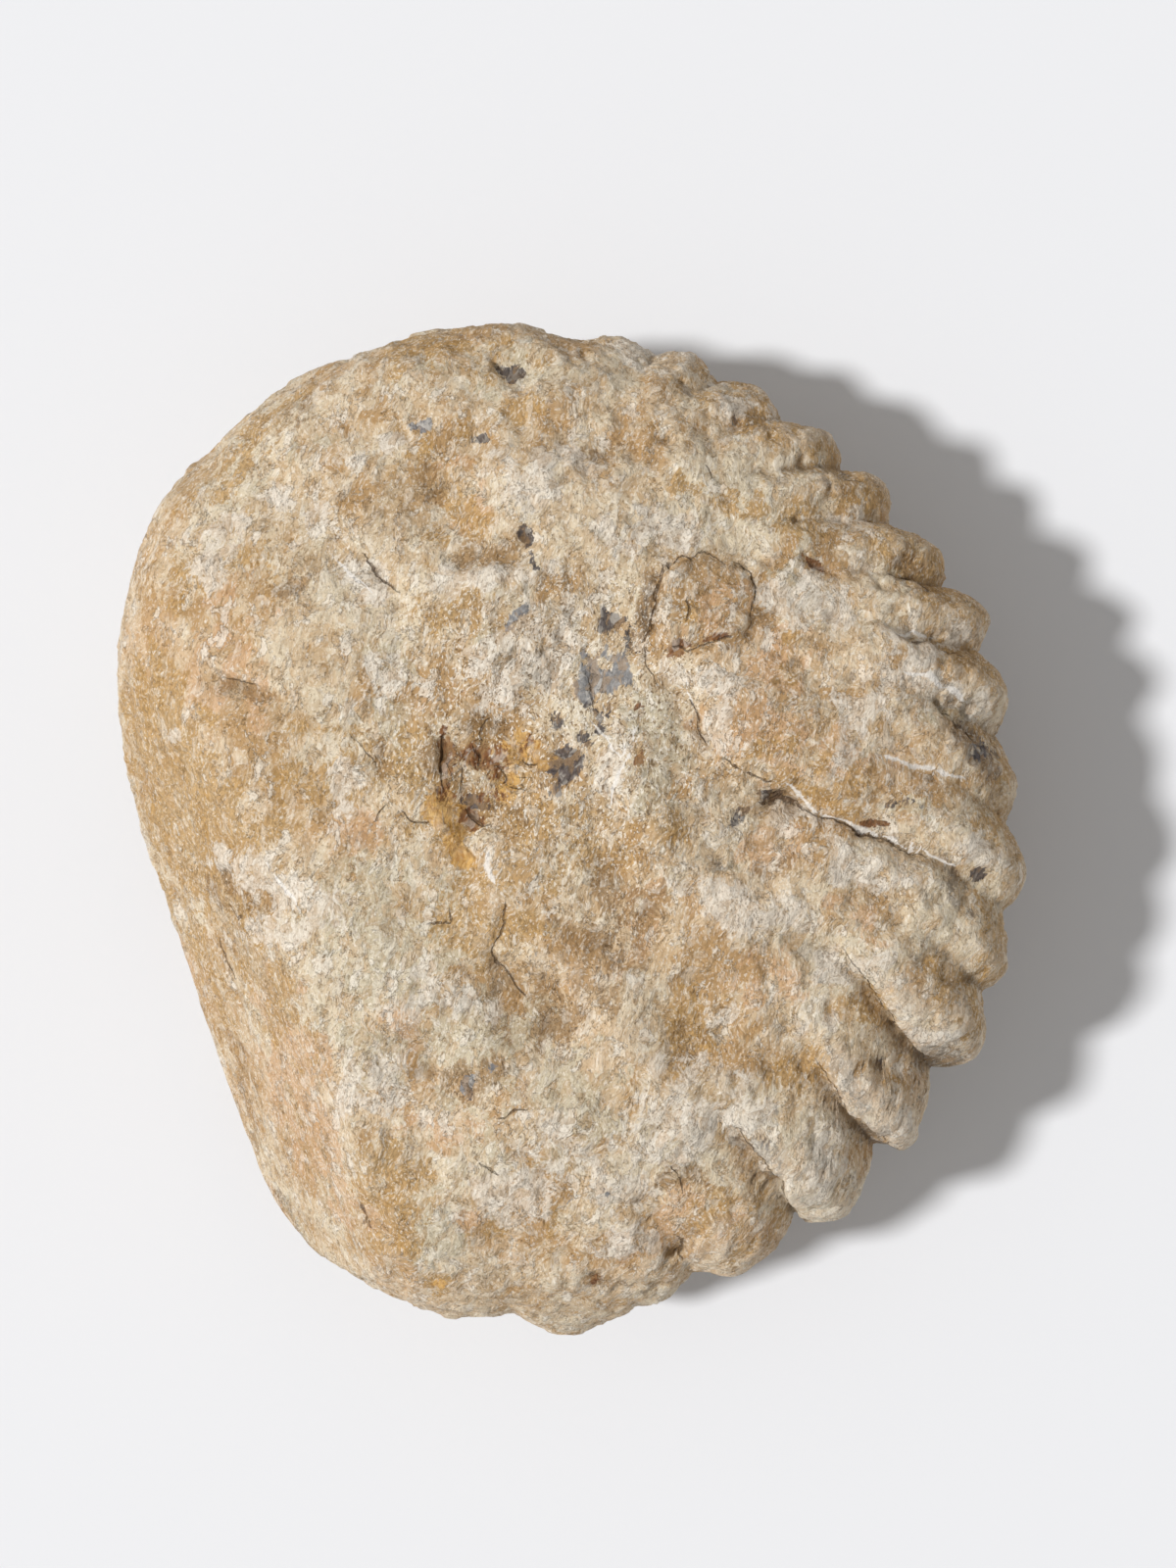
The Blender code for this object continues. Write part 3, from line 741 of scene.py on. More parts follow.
        (-16.5, -13.5, 4.4, 1.5, -68, 0.9), (-8, -0.1, 3.4, 2.4, -30, 0.6),
        (-19.6, -76.5, 1.4, 0.9, 0, 0.8),
    ),
}

# The rusty pocket, where chips stand closest, the middle, where weathering is crispest, and the smooth left.
POCKET = Oval(-12.7, -4.2, 7.0, 6.6, 0.0, 1.0, 2.0)
CRISP_MIDDLE = Oval(-1.0, 3.0, 27.0, 23.0, 0.0, 0.5, 2.0)
SMOOTH_FLANK = Oval(-50.0, 6.0, 17.0, 27.0, 0.0, 0.45)

# Noise starts to tear a stain where its field has the first of these values, and is whole at the second.
STAIN_GATE: Range = (0.03, 0.3)
MINERALS = (Stain.SLATE, Stain.CHARCOAL, Stain.AMBER, Stain.RUST)


@dataclass(frozen=True)
class Step:
    """A terrace (+) or a pit (-), which layered noise makes.

    The stone rises by so many mm as the noise goes from low to high. Size, layers and shift are the noise's.
    """

    rise: float
    low: float
    high: float
    size: float
    layers: int
    shift: float


@dataclass
class WeatheredStone:
    """The fossil's closed surface: the coil with its finer relief, and the fields its material reads.

    Attributes:
        cells: Cells along each side of the two square grids, one bent over each flank.
        section_reach: The edge's usual distance in mm, by which the section's cells are evened out.
        hidden_below: Height in mm, from the mid-plane, under which placed patches give way to random ones.
        hidden_fade: How far above and below that height the change goes, in mm.
        strewn_span: The noise at which a random patch starts, and at which it is whole.
        face_grain: The direction in which the broken mouth end is scored.
        face_depth: How near to the planes of the breaks the face starts, and is whole, in mm.
        face_south: How far south of the umbilicus it starts, and is whole, in mm.
        stained_and_shaded_slope: Where the slopes of the ribs look that are stained and painted with shade,
            away from the key light.
        slope_span: How squarely a slope looks that way where its stain and painted shade start, and where
            they are whole.
        ribbed_arc: The bearings between which ribs are stained and painted with shade.
        ribbed_fade: Degrees over which the stain fades in at either end.
        rim_span: The shares of the edge's distance at which it starts, and is whole.
        knobs: The broadest of the noises that make the fine relief.
        face_stretch: How much of a pattern's change along the face's grain is taken out.
        face_share: How much of the face's relief is its own ridges.
        sunk: How deep each stain has eaten into the stone, in mm.
        steps: The terraces and pits.
    """

    coil: CoilShape = field(default_factory=CoilShape)
    noise: Noise = field(default_factory=Noise)
    cells: int = 222
    section_reach: float = 67.0
    section_samples: int = 600
    hidden_below: float = -6.0
    hidden_fade: float = 6.0
    strewn_size: float = 21.0
    strewn_span: Range = (0.16, 0.42)
    strewn_strength: float = 0.9
    face_grain: Triple = (0.325, -0.946, 0.0)
    face_depth: Range = (-1.6, -0.3)
    face_south: Range = (24.0, 34.0)
    stained_and_shaded_slope: Triple = (0.50, 0.80, 0.33)
    slope_span: Range = (0.42, 0.80)
    ribbed_arc: Range = (-62.0, 88.0)
    ribbed_fade: float = 25.0
    rim_span: Range = (0.84, 0.97)
    slope_strength: float = 0.56
    smoothing_rounds: int = 10
    knob_rise: float = 0.34
    knobs: Layers = (10.0, 3, 1.0)
    chip_rise: float = 0.32
    chips: Layers = (6.0, 3, 2.0)
    pocket_rise: float = 0.9
    pocket_chips: Layers = (1.9, 2, 110.0)
    face_rise: float = 0.5
    face_ridges: Layers = (3.4, 3, 50.0)
    face_stretch: float = 0.85
    face_share: float = 0.75
    sunk: tuple[tuple[Stain, float], ...] = ((Stain.UMBER, 0.45), (Stain.CHARCOAL, 0.3), (Stain.RUST, 0.25))
    chalk_rise: float = 0.22
    hollow_limit: float = 1.5
    steps: tuple[Step, ...] = (
        Step(0.30, -0.05, 0.03, 9.0, 4, 60.0),
        Step(0.22, -0.04, 0.02, 4.4, 3, 71.0),
        Step(-0.5, 0.22, 0.46, 3.4, 1, 80.0),
        Step(-0.4, 0.25, 0.45, 2.2, 1, 90.0),
    )

    def disc(self) -> tuple[Array, Array]:
        """Bends a square grid into a disc, ring by ring, so that its cells stay alike in size.

        Places on the square |a|, |b| <= r go to the circle of reach r. The bearing runs evenly along each
        side of that square, and the polar angle is the one at which the section has the share r of its
        length.

        Returns:
            Bearings in degrees and polar angles in radians from 0 to pi/2, as square arrays.
        """
        side = np.linspace(-1.0, 1.0, self.cells + 1)
        a, b = np.meshgrid(side, side)
        reach = np.maximum(np.abs(a), np.abs(b))
        wide = np.abs(a) >= np.abs(b)
        safe_a = np.where(wide & (a != 0), a, 1.0)
        safe_b = np.where(~wide & (b != 0), b, 1.0)
        turn = np.where(wide, 45.0 * b / safe_a, 90.0 - 45.0 * a / safe_b)
        flipped = np.where(wide, a < 0, b < 0)
        bearing = (turn + 180.0 * flipped + 180.0) % 360.0 - 180.0

        polar = np.linspace(0.0, np.pi / 2, self.section_samples)
        power = 2 / self.coil.section_power
        section_r = self.section_reach * np.sin(polar) ** power
        section_z = self.coil.upper_rise * np.cos(polar) ** power
        passed = np.concatenate([[0], np.cumsum(np.hypot(np.diff(section_r), np.diff(section_z)))])
        return bearing, np.interp(reach, passed / passed[-1], polar)

    def base(self) -> tuple[Array, NDArray[np.int64]]:
        """Lays one disc over each flank, with the outer edge in common.

        Returns:
            The coil's points, one row each, and the four point numbers of each quad.
        """
        bearing, polar = self.disc()
        rows = self.cells + 1
        upper_index = np.arange(rows * rows).reshape(rows, rows)
        inside = np.zeros((rows, rows), bool)
        inside[1:-1, 1:-1] = True
        lower_index = upper_index.copy()
        lower_index[inside] = rows * rows + np.arange(inside.sum())
        upper = self.coil.surface(bearing.ravel(), polar.ravel())
        lower = self.coil.surface(bearing[inside], np.pi - polar[inside])
        faces = np.concatenate([self.quads(upper_index), self.quads(lower_index)[:, ::-1]])
        return np.concatenate([upper, lower]), faces

    @staticmethod
    def quads(index: NDArray[np.int64]) -> NDArray[np.int64]:
        """The four corners of each cell of a grid of point numbers, anticlockwise from above."""
        corners = (index[:-1, :-1], index[:-1, 1:], index[1:, 1:], index[1:, :-1])
        return np.stack([corner.ravel() for corner in corners], axis=1)

    @staticmethod
    def normals(points: Array, faces: NDArray[np.int64]) -> Array:
        """Unit normals: at each point the sum of its quads' normals, each from its two diagonals.

        Args:
            points: The mesh's points.
            faces: Its quads.

        Returns:
            The normals, one row each.
        """
        corners = points[faces]
        facing = np.cross(corners[:, 2] - corners[:, 0], corners[:, 3] - corners[:, 1])
        total = np.zeros_like(points)
        for corner in range(4):
            for axis in range(3):
                total[:, axis] += np.bincount(faces[:, corner], facing[:, axis], len(points))
        return total / np.maximum(np.linalg.norm(total, axis=1), 1e-12)[:, None]

    def smoothed(self, values: Array, faces: NDArray[np.int64]) -> Array:
        """Replaces each point's values by its neighbours' average, several times over.

        Args:
            values: The points' values, one row each.
            faces: The mesh's quads.

        Returns:
            The values after the last round.
        """
        ends = np.concatenate([faces[:, [0, 1]], faces[:, [1, 2]], faces[:, [2, 3]], faces[:, [3, 0]]])
        count = np.bincount(ends.ravel(), minlength=len(values))
        for _ in range(self.smoothing_rounds):
            total = np.zeros_like(values)
            for axis in range(values.shape[1]):
                total[:, axis] += np.bincount(ends[:, 0], values[ends[:, 1], axis], len(values))
                total[:, axis] += np.bincount(ends[:, 1], values[ends[:, 0], axis], len(values))
            values = total / count[:, None]
        return values

    def bent(self, points: Array, size: float, amount: float) -> Array:
        """Places moved about by noise, which makes what is placed there look brushed."""
        moved = [self.noise.layered(points, size, 2, shift) for shift in (11.0, 23.0, 37.0)]
        return points + amount * np.stack(moved, axis=1)

    def stain_fields(self, points: Array, shown: Array) -> dict[str, Array]:
        """How strongly each stain lies at each point, from 0 to 1.

        Placed patches of one stain join as 1 - (1 - f1)(1 - f2)..., and noise tears their outlines. Under
        the outer edge, slow noise takes the patches' place, and there are no minerals.

        Args:
            points: Places in mm from the umbilicus and the mid-plane.
            shown: 1 where placed patches hold, 0 where they don't.

        Returns:
            A field for each stain, by its name.
        """
        bent = self.bent(points, 6.0, 2.2)
        fields = {}
        for number, stain in enumerate(Stain):
            bare = np.ones(len(points))
            for row in PATCHES[stain]:
                bare *= 1 - Oval(*row).height(bent[:, 0], bent[:, 1])
            placed = 1 - bare
            torn = 1.2 * self.noise.layered(bent, 5.0, 3, 41.0 + 7 * number)
            placed = np.clip(placed + torn * smooth_step(*STAIN_GATE, placed), 0.0, 1.0)
            slow = self.noise.layered(points, self.strewn_size, 3, 31.0 + 7 * number)
            strength = 0.0 if stain in MINERALS else self.strewn_strength
            strewn = smooth_step(*self.strewn_span, slow) * (1 - shown) * strength
            fields[stain.value] = placed * shown + strewn
        return fields

    def stained_and_shaded_rib_backs(self, points: Array, facing: Array) -> Array:
        """Finds the stain and painted shade on the ribs near the edge, on the slopes that look north-east,
        away from the key light.

        Args:
            points: Places in mm from the umbilicus and the mid-plane.
            facing: The surface's normals there.

        Returns:
            How much each place is stained and painted with shade, from 0 to 1.
        """
        bearing = np.degrees(np.arctan2(points[:, 1], points[:, 0]))
        reach = np.hypot(points[:, 0], points[:, 1]) / self.coil.edge_radius(bearing)
        slope = smooth_step(*self.slope_span, facing @ np.array(self.stained_and_shaded_slope))
        first, last = self.ribbed_arc
        ribbed = smooth_step(0.0, self.ribbed_fade, bearing - first)
        ribbed *= smooth_step(0.0, self.ribbed_fade, last - bearing)
        torn = 1 + 0.9 * self.noise.layered(points, 4.5, 3, 150.0)
        near_rim = smooth_step(*self.rim_span, reach)
        return np.clip(self.slope_strength * slope * ribbed * near_rim * torn, 0.0, 1.0)

    def broken_face(self, points: Array) -> Array:
        """1 on the broken mouth end of the coil, which is its first two breaks, and 0 off it."""
        past = np.maximum(*(flat.past(points) for flat in self.coil.breaks[:2]))
        return smooth_step(*self.face_depth, past) * smooth_step(*self.face_south, -points[:, 1])

    def crispness(self, points: Array) -> Array:
        """How crisp the finest weathering is: 1 in the middle, a half outside it, least on the flank."""
        east, north = points[:, 0], points[:, 1]
        return 0.5 + CRISP_MIDDLE.height(east, north) - 0.5 * SMOOTH_FLANK.height(east, north)

    def fine_relief(self, points: Array, stains: dict[str, Array], face: Array) -> Array:
        """Height of the weathering in mm, with an average of nothing.

        It adds up knobs from layered noise, chips from creased noise, terraces where noise passes zero,
        pits where it is high, and what each stain does to the stone under it. The smooth left flank has
        less of it, and the broken face has mostly ridges along its grain instead.

        Args:
            points: Places in mm.
            stains: The stain fields.
            face: 1 on the broken face.

        Returns:
            Heights along the normal.
        """
        noise = self.noise
        rough = 1 - SMOOTH_FLANK.height(points[:, 0], points[:, 1])
        height = self.knob_rise * noise.layered(points, *self.knobs)
        height += self.chip_rise * noise.creased(points, *self.chips)
        for step in self.steps:
            lumps = noise.layered(points, step.size, step.layers, step.shift)
            height += step.rise * smooth_step(step.low, step.high, lumps)
        in_pocket = self.pocket_rise * POCKET.height(points[:, 0], points[:, 1])
        height += in_pocket * noise.creased(points, *self.pocket_chips)
        height = (height - height.mean()) * rough
        grain = np.array(self.face_grain)
        along_grain = points - np.outer(points @ grain, grain) * self.face_stretch
        ridges = self.face_rise * noise.layered(along_grain, *self.face_ridges)
        height += (ridges - height) * self.face_share * face
        height -= sum(depth * stains[stain.value] for stain, depth in self.sunk)
        return height + self.chalk_rise * stains[Stain.CHALK.value]

    def build(self) -> bpy.types.Object:
        """Makes the stone's object.

        Returns:
            The object, with its fields as point attributes.
        """
        base, faces = self.base()
        low, high = self.hidden_below - self.hidden_fade, self.hidden_below + self.hidden_fade
        shown = smooth_step(low, high, base[:, 2])
        outward = self.normals(base, faces)
        stains = self.stain_fields(base, shown)
        # The ribs' north-east slopes, turned from the key light, get ochre and umber that are partly stain
        # and partly painted shade.
        backs = self.stained_and_shaded_rib_backs(base, outward)
        stains["ochre"] = np.maximum(stains["ochre"], backs)
        stains["umber"] = np.maximum(stains["umber"], 0.3 * backs)
        worn = self.bent(base, 3.4, 1.0)
        cracks = TraceField(CRACKS).fields(worn[:, 0], worn[:, 1])
        veins = TraceField(VEINS).fields(worn[:, 0], worn[:, 1])
        face = self.broken_face(base)
        relief = self.fine_relief(base, stains, face) + (cracks[2] + veins[2]) * shown
        points = base + outward * relief[:, None]
        points = self.seated(base, points)
        facing = self.normals(points, faces)
        # How far each point lies below its neighbours' average; the material paints shade where it is sunk
        # and highlight where it stands out.
        hollow = np.einsum("ij,ij->i", self.smoothed(points, faces) - points, facing)

        mesh = bpy.data.meshes.new("fossil_stone")
        mesh.from_pydata(points * METRES_PER_MM, [], faces)
        mesh.shade_smooth()
        bent = self.bent(base, 9.0, 4.0)
        fields = {
            **stains,
            "face": face,
            "crisp": self.crispness(base) * shown + 0.5 * (1 - shown),
            "tone": self.noise.layered(bent, 13.0, 4, 200.0),
            "warmth": self.noise.layered(bent, 21.0, 4, 240.0),
            "hollow": np.clip(hollow, -self.hollow_limit, self.hollow_limit),
            "crack_side": cracks[0],
            "crack_width": cracks[1] * shown,
            "vein_side": veins[0],
            "vein_width": veins[1] * shown,
        }
        for name, values in fields.items():
            attribute = mesh.attributes.new(name, "FLOAT", "POINT")
            attribute.data.foreach_set("value", values.astype(np.float32))
        stone = bpy.data.objects.new("fossil_stone", mesh)
        bpy.context.scene.collection.objects.link(stone)
        return stone

    def seated(self, base: Array, points: Array) -> Array:
        """Sets the stone where the solid is, worn flat where it rests.

        The coil's own box is put on the solid's box, and what is below the ground is raised to it.

        Args:
            base: The coil's points, which the solid shares.
            points: The same points with the fine relief.

        Returns:
            The points in the frame, in mm.
        """
        low, high = (np.array(corner) / METRES_PER_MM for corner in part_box(CAD_NODE))
        middle = (base.max(axis=0) + base.min(axis=0)) / 2
        shift = (high + low) / 2 - middle
        shift[2] = high[2] - base[:, 2].max()
        placed = points + shift
        placed[:, 2] = np.maximum(placed[:, 2], 0.0)
        return placed


def paint(red: int, green: int, blue: int) -> Colour:
    """A screen colour from 0 to 255, turned into the light that a shader works in."""
    shares = (value / 255 for value in (red, green, blue))
    linear = (s / 12.92 if s <= 0.04045 else ((s + 0.055) / 1.055) ** 2.4 for s in shares)
    return (*linear, 1.0)


FLOAT = "NodeSocketFloat"
STAIN_EDGE = 0.42
HALF = (0.5, 0.5, 0.5)
Node = bpy.types.Node
Socket = bpy.types.NodeSocket
Value = Socket | float | Triple | Colour


class Graph:
    """Adds nodes to a tree and joins them, so that a material reads as a list of steps."""

    def __init__(self, tree: bpy.types.NodeTree) -> None:
        """Starts with the tree's nodes cleared."""
        self.tree = tree
        tree.nodes.clear()

    def add(self, kind: str, inputs: dict[str | int, Value], **settings: object) -> Node:
        """Adds a node.

        Args:
            kind: The node's type name.
            inputs: What goes into its sockets, by name or number.
            **settings: Its properties.

        Returns:
            The node.
        """
        node = self.tree.nodes.new(kind)
        for name, value in settings.items():
            setattr(node, name, value)
        for key, value in inputs.items():
            socket = node.inputs[key]
            if isinstance(value, Socket):
                self.tree.links.new(value, socket)
            else:
                socket.default_value = value
        return node

    def lumps(self, at: Socket, size: float, detail: float, rough: float) -> Node:
        """A noise texture whose lumps are about size mm across."""
        inputs = {"Vector": at, "Scale": 1 / size, "Detail": detail, "Roughness": rough}
        return self.add("ShaderNodeTexNoise", inputs)

    def noises(self, at: Socket, size: float, detail: float, rough: float) -> list[Socket]:
        """Three unlike noises of one size, each less its middle value."""
        centred = self.vector("SUBTRACT", self.lumps(at, size, detail, rough).outputs[1], HALF)
        return list(self.add("ShaderNodeSeparateXYZ", {0: centred.outputs[0]}).outputs)

    def facets(self, at: Socket, size: float) -> tuple[Socket, Socket]:
        """Cells of one size, each tilted its own way.

        Args:
            at: Where they are looked up.
            size: About how wide one is, in mm.

        Returns:
            The height over its middle, and a chance from -0.5 to 0.5 that it has to itself.
        """
        cells = self.add("ShaderNodeTexVoronoi", {"Vector": at, "Scale": 1 / size})
        inward = self.vector("SUBTRACT", at, cells.outputs["Position"]).outputs[0]
        lean = self.vector("SUBTRACT", cells.outputs["Color"], HALF).outputs[0]
        tilted = self.vector("DOT_PRODUCT", inward, lean).outputs["Value"]
        return tilted, self.add("ShaderNodeSeparateXYZ", {0: lean}).outputs[2]

    def drawn_out(self, at: Socket, turn: float, scale: Triple) -> Socket:
        """Places turned by so many degrees about up, in which a pattern is longer by scale."""
        inputs = {"Vector": at, "Rotation": (0.0, 0.0, math.radians(turn)), "Scale": scale}
        return self.add("ShaderNodeMapping", inputs, vector_type="TEXTURE").outputs[0]

    def vector(self, operation: str, a: Value, b: Value, c: Value = (0.0, 0.0, 0.0)) -> Node:
        """A sum on two or three vectors."""
        return self.add("ShaderNodeVectorMath", {0: a, 1: b, 2: c}, operation=operation)

    def math(self, operation: str, a: Value, b: Value = 0.0, c: Value = 0.0) -> Socket:
        """The result of a sum on two or three values."""
        return self.add("ShaderNodeMath", {0: a, 1: b, 2: c}, operation=operation).outputs[0]

    def times(self, a: Value, b: Value) -> Socket:
        """The product of two values."""
        return self.math("MULTIPLY", a, b)

    def plus(self, value: Value, share: float, more: Socket) -> Socket:
        """A value and a share of another, added up."""
        return self.math("MULTIPLY_ADD", more, share, value)

    def rise(self, value: Socket, low: Value, high: Value, top: Value = 1.0) -> Socket:
        """A smooth rise from 0 to top as the value goes from low to high."""
        inputs = {"Value": value, "From Min": low, "From Max": high, "To Max": top}
        return self.add("ShaderNodeMapRange", inputs, interpolation_type="SMOOTHSTEP").outputs[0]

    def fall(self, value: Socket, low: Value, high: Value, top: Value = 1.0) -> Socket:
        """A smooth rise from 0 to top as the value goes from minus low to minus high."""
        return self.rise(self.times(value, -1.0), low, high, top)

    def mix(self, share: Value, a: Value, b: Value) -> Socket:
        """Two colours mixed by a share."""
        settings = {"data_type": "RGBA", "blend_type": "MIX", "clamp_factor": True}
        return self.add("ShaderNodeMix", {0: share, 6: a, 7: b}, **settings).outputs[2]

    def attribute(self, name: str) -> Socket:
        """A field of the mesh."""
        return self.add("ShaderNodeAttribute", {}, attribute_name=name).outputs["Fac"]

    def group(self, tree: bpy.types.NodeTree, inputs: dict[str | int, Value]) -> Socket:
        """The first output of a node group."""
        return self.add("ShaderNodeGroup", inputs, node_tree=tree).outputs[0]


def new_group(
    name: str, inputs: dict[str, str], output: tuple[str, str]
) -> tuple[bpy.types.NodeTree, Graph, dict[str, Socket]]:
    """Starts a node group.

    Args:
        name: The group's name.
        inputs: Its inputs' kinds by their names.
        output: Its output's name and kind.

    Returns:
        The group's tree, a graph to fill it with, and its inputs by name.
    """
    tree = bpy.data.node_groups.new(name, "ShaderNodeTree")
    graph = Graph(tree)
    for label, kind in inputs.items():
        tree.interface.new_socket(label, in_out="INPUT", socket_type=kind)
    tree.interface.new_socket(output[0], in_out="OUTPUT", socket_type=output[1])
    sockets = tree.nodes.new("NodeGroupInput").outputs
    return tree, graph, {label: sockets[label] for label in inputs}


def close_group(graph: Graph, result: Socket) -> None:
    """Joins a group's result to its output."""
    end = graph.tree.nodes.new("NodeGroupOutput")
    graph.tree.links.new(result, end.inputs[0])


def stain_group() -> bpy.types.NodeTree:
    """Makes a stain's mask: its field plus some roughness, cut off with an edge of some softness.

    Returns:
        The group.
    """
    names = ("Field", "Roughness", "Ragged", "Softness", "Strength")
    tree, graph, given = new_group("stain_edge", dict.fromkeys(names, FLOAT), ("Mask", FLOAT))
    gate = graph.rise(given["Field"], *STAIN_GATE)
    torn = graph.times(graph.times(given["Roughness"], given["Ragged"]), gate)
    moved = graph.math("ADD", torn, given["Field"])
    low = graph.math("SUBTRACT", STAIN_EDGE, given["Softness"])
    high = graph.math("ADD", STAIN_EDGE, given["Softness"])
    close_group(graph, graph.times(graph.rise(moved, low, high), given["Strength"]))
    return tree


def line_group() -> bpy.types.NodeTree:
    """Makes a line's mask: whole inside 0.4 of its swelling half width, and gone 0.1 mm past it.

    Returns:
        The group.
    """
    names = ("Side", "Width", "Wander", "Swell")
    tree, graph, given = new_group("line_edge", dict.fromkeys(names, FLOAT), ("Mask", FLOAT))
    gap = graph.math("ABSOLUTE", graph.math("ADD", given["Side"], given["Wander"]))
    width = graph.times(given["Width"], graph.plus(0.8, 9.0, given["Swell"]))
    share = graph.rise(gap, graph.times(width, 0.4), graph.math("ADD", width, 0.10))
    present = graph.rise(given["Width"], 0.01, 0.06)
    close_group(graph, graph.times(graph.math("SUBTRACT", 1.0, share), present))
    return tree


@dataclass(frozen=True)
class StainFinish:
    """How a stain looks: its colours, how torn and how soft its edge is, and how much it covers."""

    dark: Colour
    light: Colour
    ragged: float
    softness: float
    strength: float


STAIN_FINISHES: dict[Stain, StainFinish] = {
    Stain.ASH: StainFinish(paint(186, 173, 145), paint(208, 198, 174), 2.4, 0.14, 0.75),
    Stain.PEACH: StainFinish(paint(191, 149, 108), paint(211, 174, 136), 2.4, 0.18, 0.78),
    Stain.OCHRE: StainFinish(paint(150, 116, 64), paint(199, 160, 104), 3.0, 0.16, 0.82),
    Stain.UMBER: StainFinish(paint(126, 97, 62), paint(168, 134, 94), 3.4, 0.18, 0.72),
    Stain.CHALK: StainFinish(paint(210, 197, 179), paint(233, 223, 209), 3.4, 0.14, 0.74),
    # The painted shade's dull grey-browns.
    Stain.PAINTED_SHADE: StainFinish(paint(118, 104, 90), paint(150, 137, 120), 2.4, 0.14, 0.80),
    Stain.SLATE: StainFinish(paint(98, 101, 108), paint(138, 140, 144), 1.8, 0.06, 0.88),
    Stain.CHARCOAL: StainFinish(paint(56, 52, 56), paint(92, 86, 88), 2.4, 0.06, 0.92),
    Stain.AMBER: StainFinish(paint(172, 120, 48), paint(222, 178, 104), 2.6, 0.12, 0.85),
    Stain.RUST: StainFinish(paint(92, 54, 28), paint(136, 88, 50), 2.6, 0.08, 0.92),
}


@dataclass(frozen=True)
class LimestoneFinish:
    """The stone's own colours, how deep its finest relief is, and where each of its marks shows.

    Sizes and depths are in mm. The shares after the marks say how far one pattern sways another, or how much
    of the stone a layer covers.
    """

    # Brown also paints the shade on the low sides of chips, and crust the highlight on their raised sides.
    brown: Colour = paint(180, 145, 101)
    tan: Colour = paint(206, 182, 149)
    cream: Colour = paint(216, 199, 171)
    # Crust also paints the highlight on crests, and the next colour, besides dark flecks and grit, the shade
    # in the hollows.
    crust: Colour = paint(240, 232, 218)
    dirt_and_shade: Colour = paint(118, 91, 58)
    crack: Colour = paint(84, 61, 40)
    vein: Colour = paint(236, 230, 222)
    roughness: float = 0.86
    specular: float = 0.3
    mineral_polish: float = 0.25
    sway: Triple = (2.2, 2.2, 2.2)
    brush_turn: float = -14.0
    brush_scale: Triple = (0.85, 1.5, 1.1)
    score_turn: float = -71.0
    score_scale: Triple = (7.0, 1.0, 1.6)
    sway_noise: Grain = (4.2, 1.0, 0.5)
    flake_noise: Grain = (3.0, 7.0, 0.66)
    speck_noise: Grain = (0.55, 3.0, 0.62)
    grit_noise: Grain = (0.42, 2.0, 0.5)
    score_noise: Grain = (1.5, 4.0, 0.6)

    facet_size: float = 2.1
    facet_tilt: float = 0.30
    chip_size: float = 0.65
    chip_tilt: float = 0.36
    flake_depth: float = 0.12
    grain_depth: float = 0.36
    speck_depth_share: float = 0.34
    crack_depth: float = 0.30
    score_depth: float = 0.7

    tan_over_brown: Mark = (-0.30, -0.10, 1.0)
    cream_over_tan: Mark = (0.04, 0.24, 1.0)
    warm_tint: Mark = (0.05, 0.5, 0.3)
    cool_tint: Mark = (0.05, 0.5, 0.35)
    pale_flakes: Mark = (0.075, 0.092, 1.0)
    brown_flakes: Mark = (0.080, 0.100, 1.0)
    light_shade: Mark = (-0.16, 0.16, 1.0)
    pale_flecks: Mark = (0.115, 0.135, 0.6)
    dark_flecks: Mark = (0.115, 0.14, 0.5)
    pale_scores: Mark = (0.53, 0.63, 0.3)
    dark_scores: Mark = (0.55, 0.65, 0.35)
    # Painted highlight on the raised side, and painted shade on the low side, of each tilted chip and facet.
    painted_highlight_on_cuts: Mark = (0.03, 0.16, 0.30)
    painted_shade_on_cuts: Mark = (0.03, 0.16, 0.42)
    pale_grit: Mark = (0.07, 0.13, 0.8)
    dark_grit: Mark = (0.09, 0.14, 0.75)
    # Painted shade in the hollows, and painted highlight on the crests.
    painted_shade_in_hollows: Mark = (0.12, 0.9, 0.6)
    painted_highlight_on_crests: Mark = (0.12, 0.7, 0.3)
    whole_cracks: Mark = (-0.10, 0.04, 0.5)

    flakes_in_tone: float = 1.7
    facets_in_tone: float = 0.20
    chips_in_tone: float = 0.22
    flakes_in_warmth: float = 1.2
    specks_in_edges: float = 0.5
    chalk_flaking: float = 0.07
    ochre_flaking: float = -0.08
    umber_flaking: float = -0.08
    umber_flecking: float = -0.09
    pale_flake_cover: float = 0.55
    brown_flake_cover: float = 0.4
    least_cut: float = 0.6
    crisp_cut: float = 0.7
    vein_wander: float = 0.8
    vein_cover: float = 0.85
    crack_wander: float = 1.6
    least_crack_cover: float = 0.3


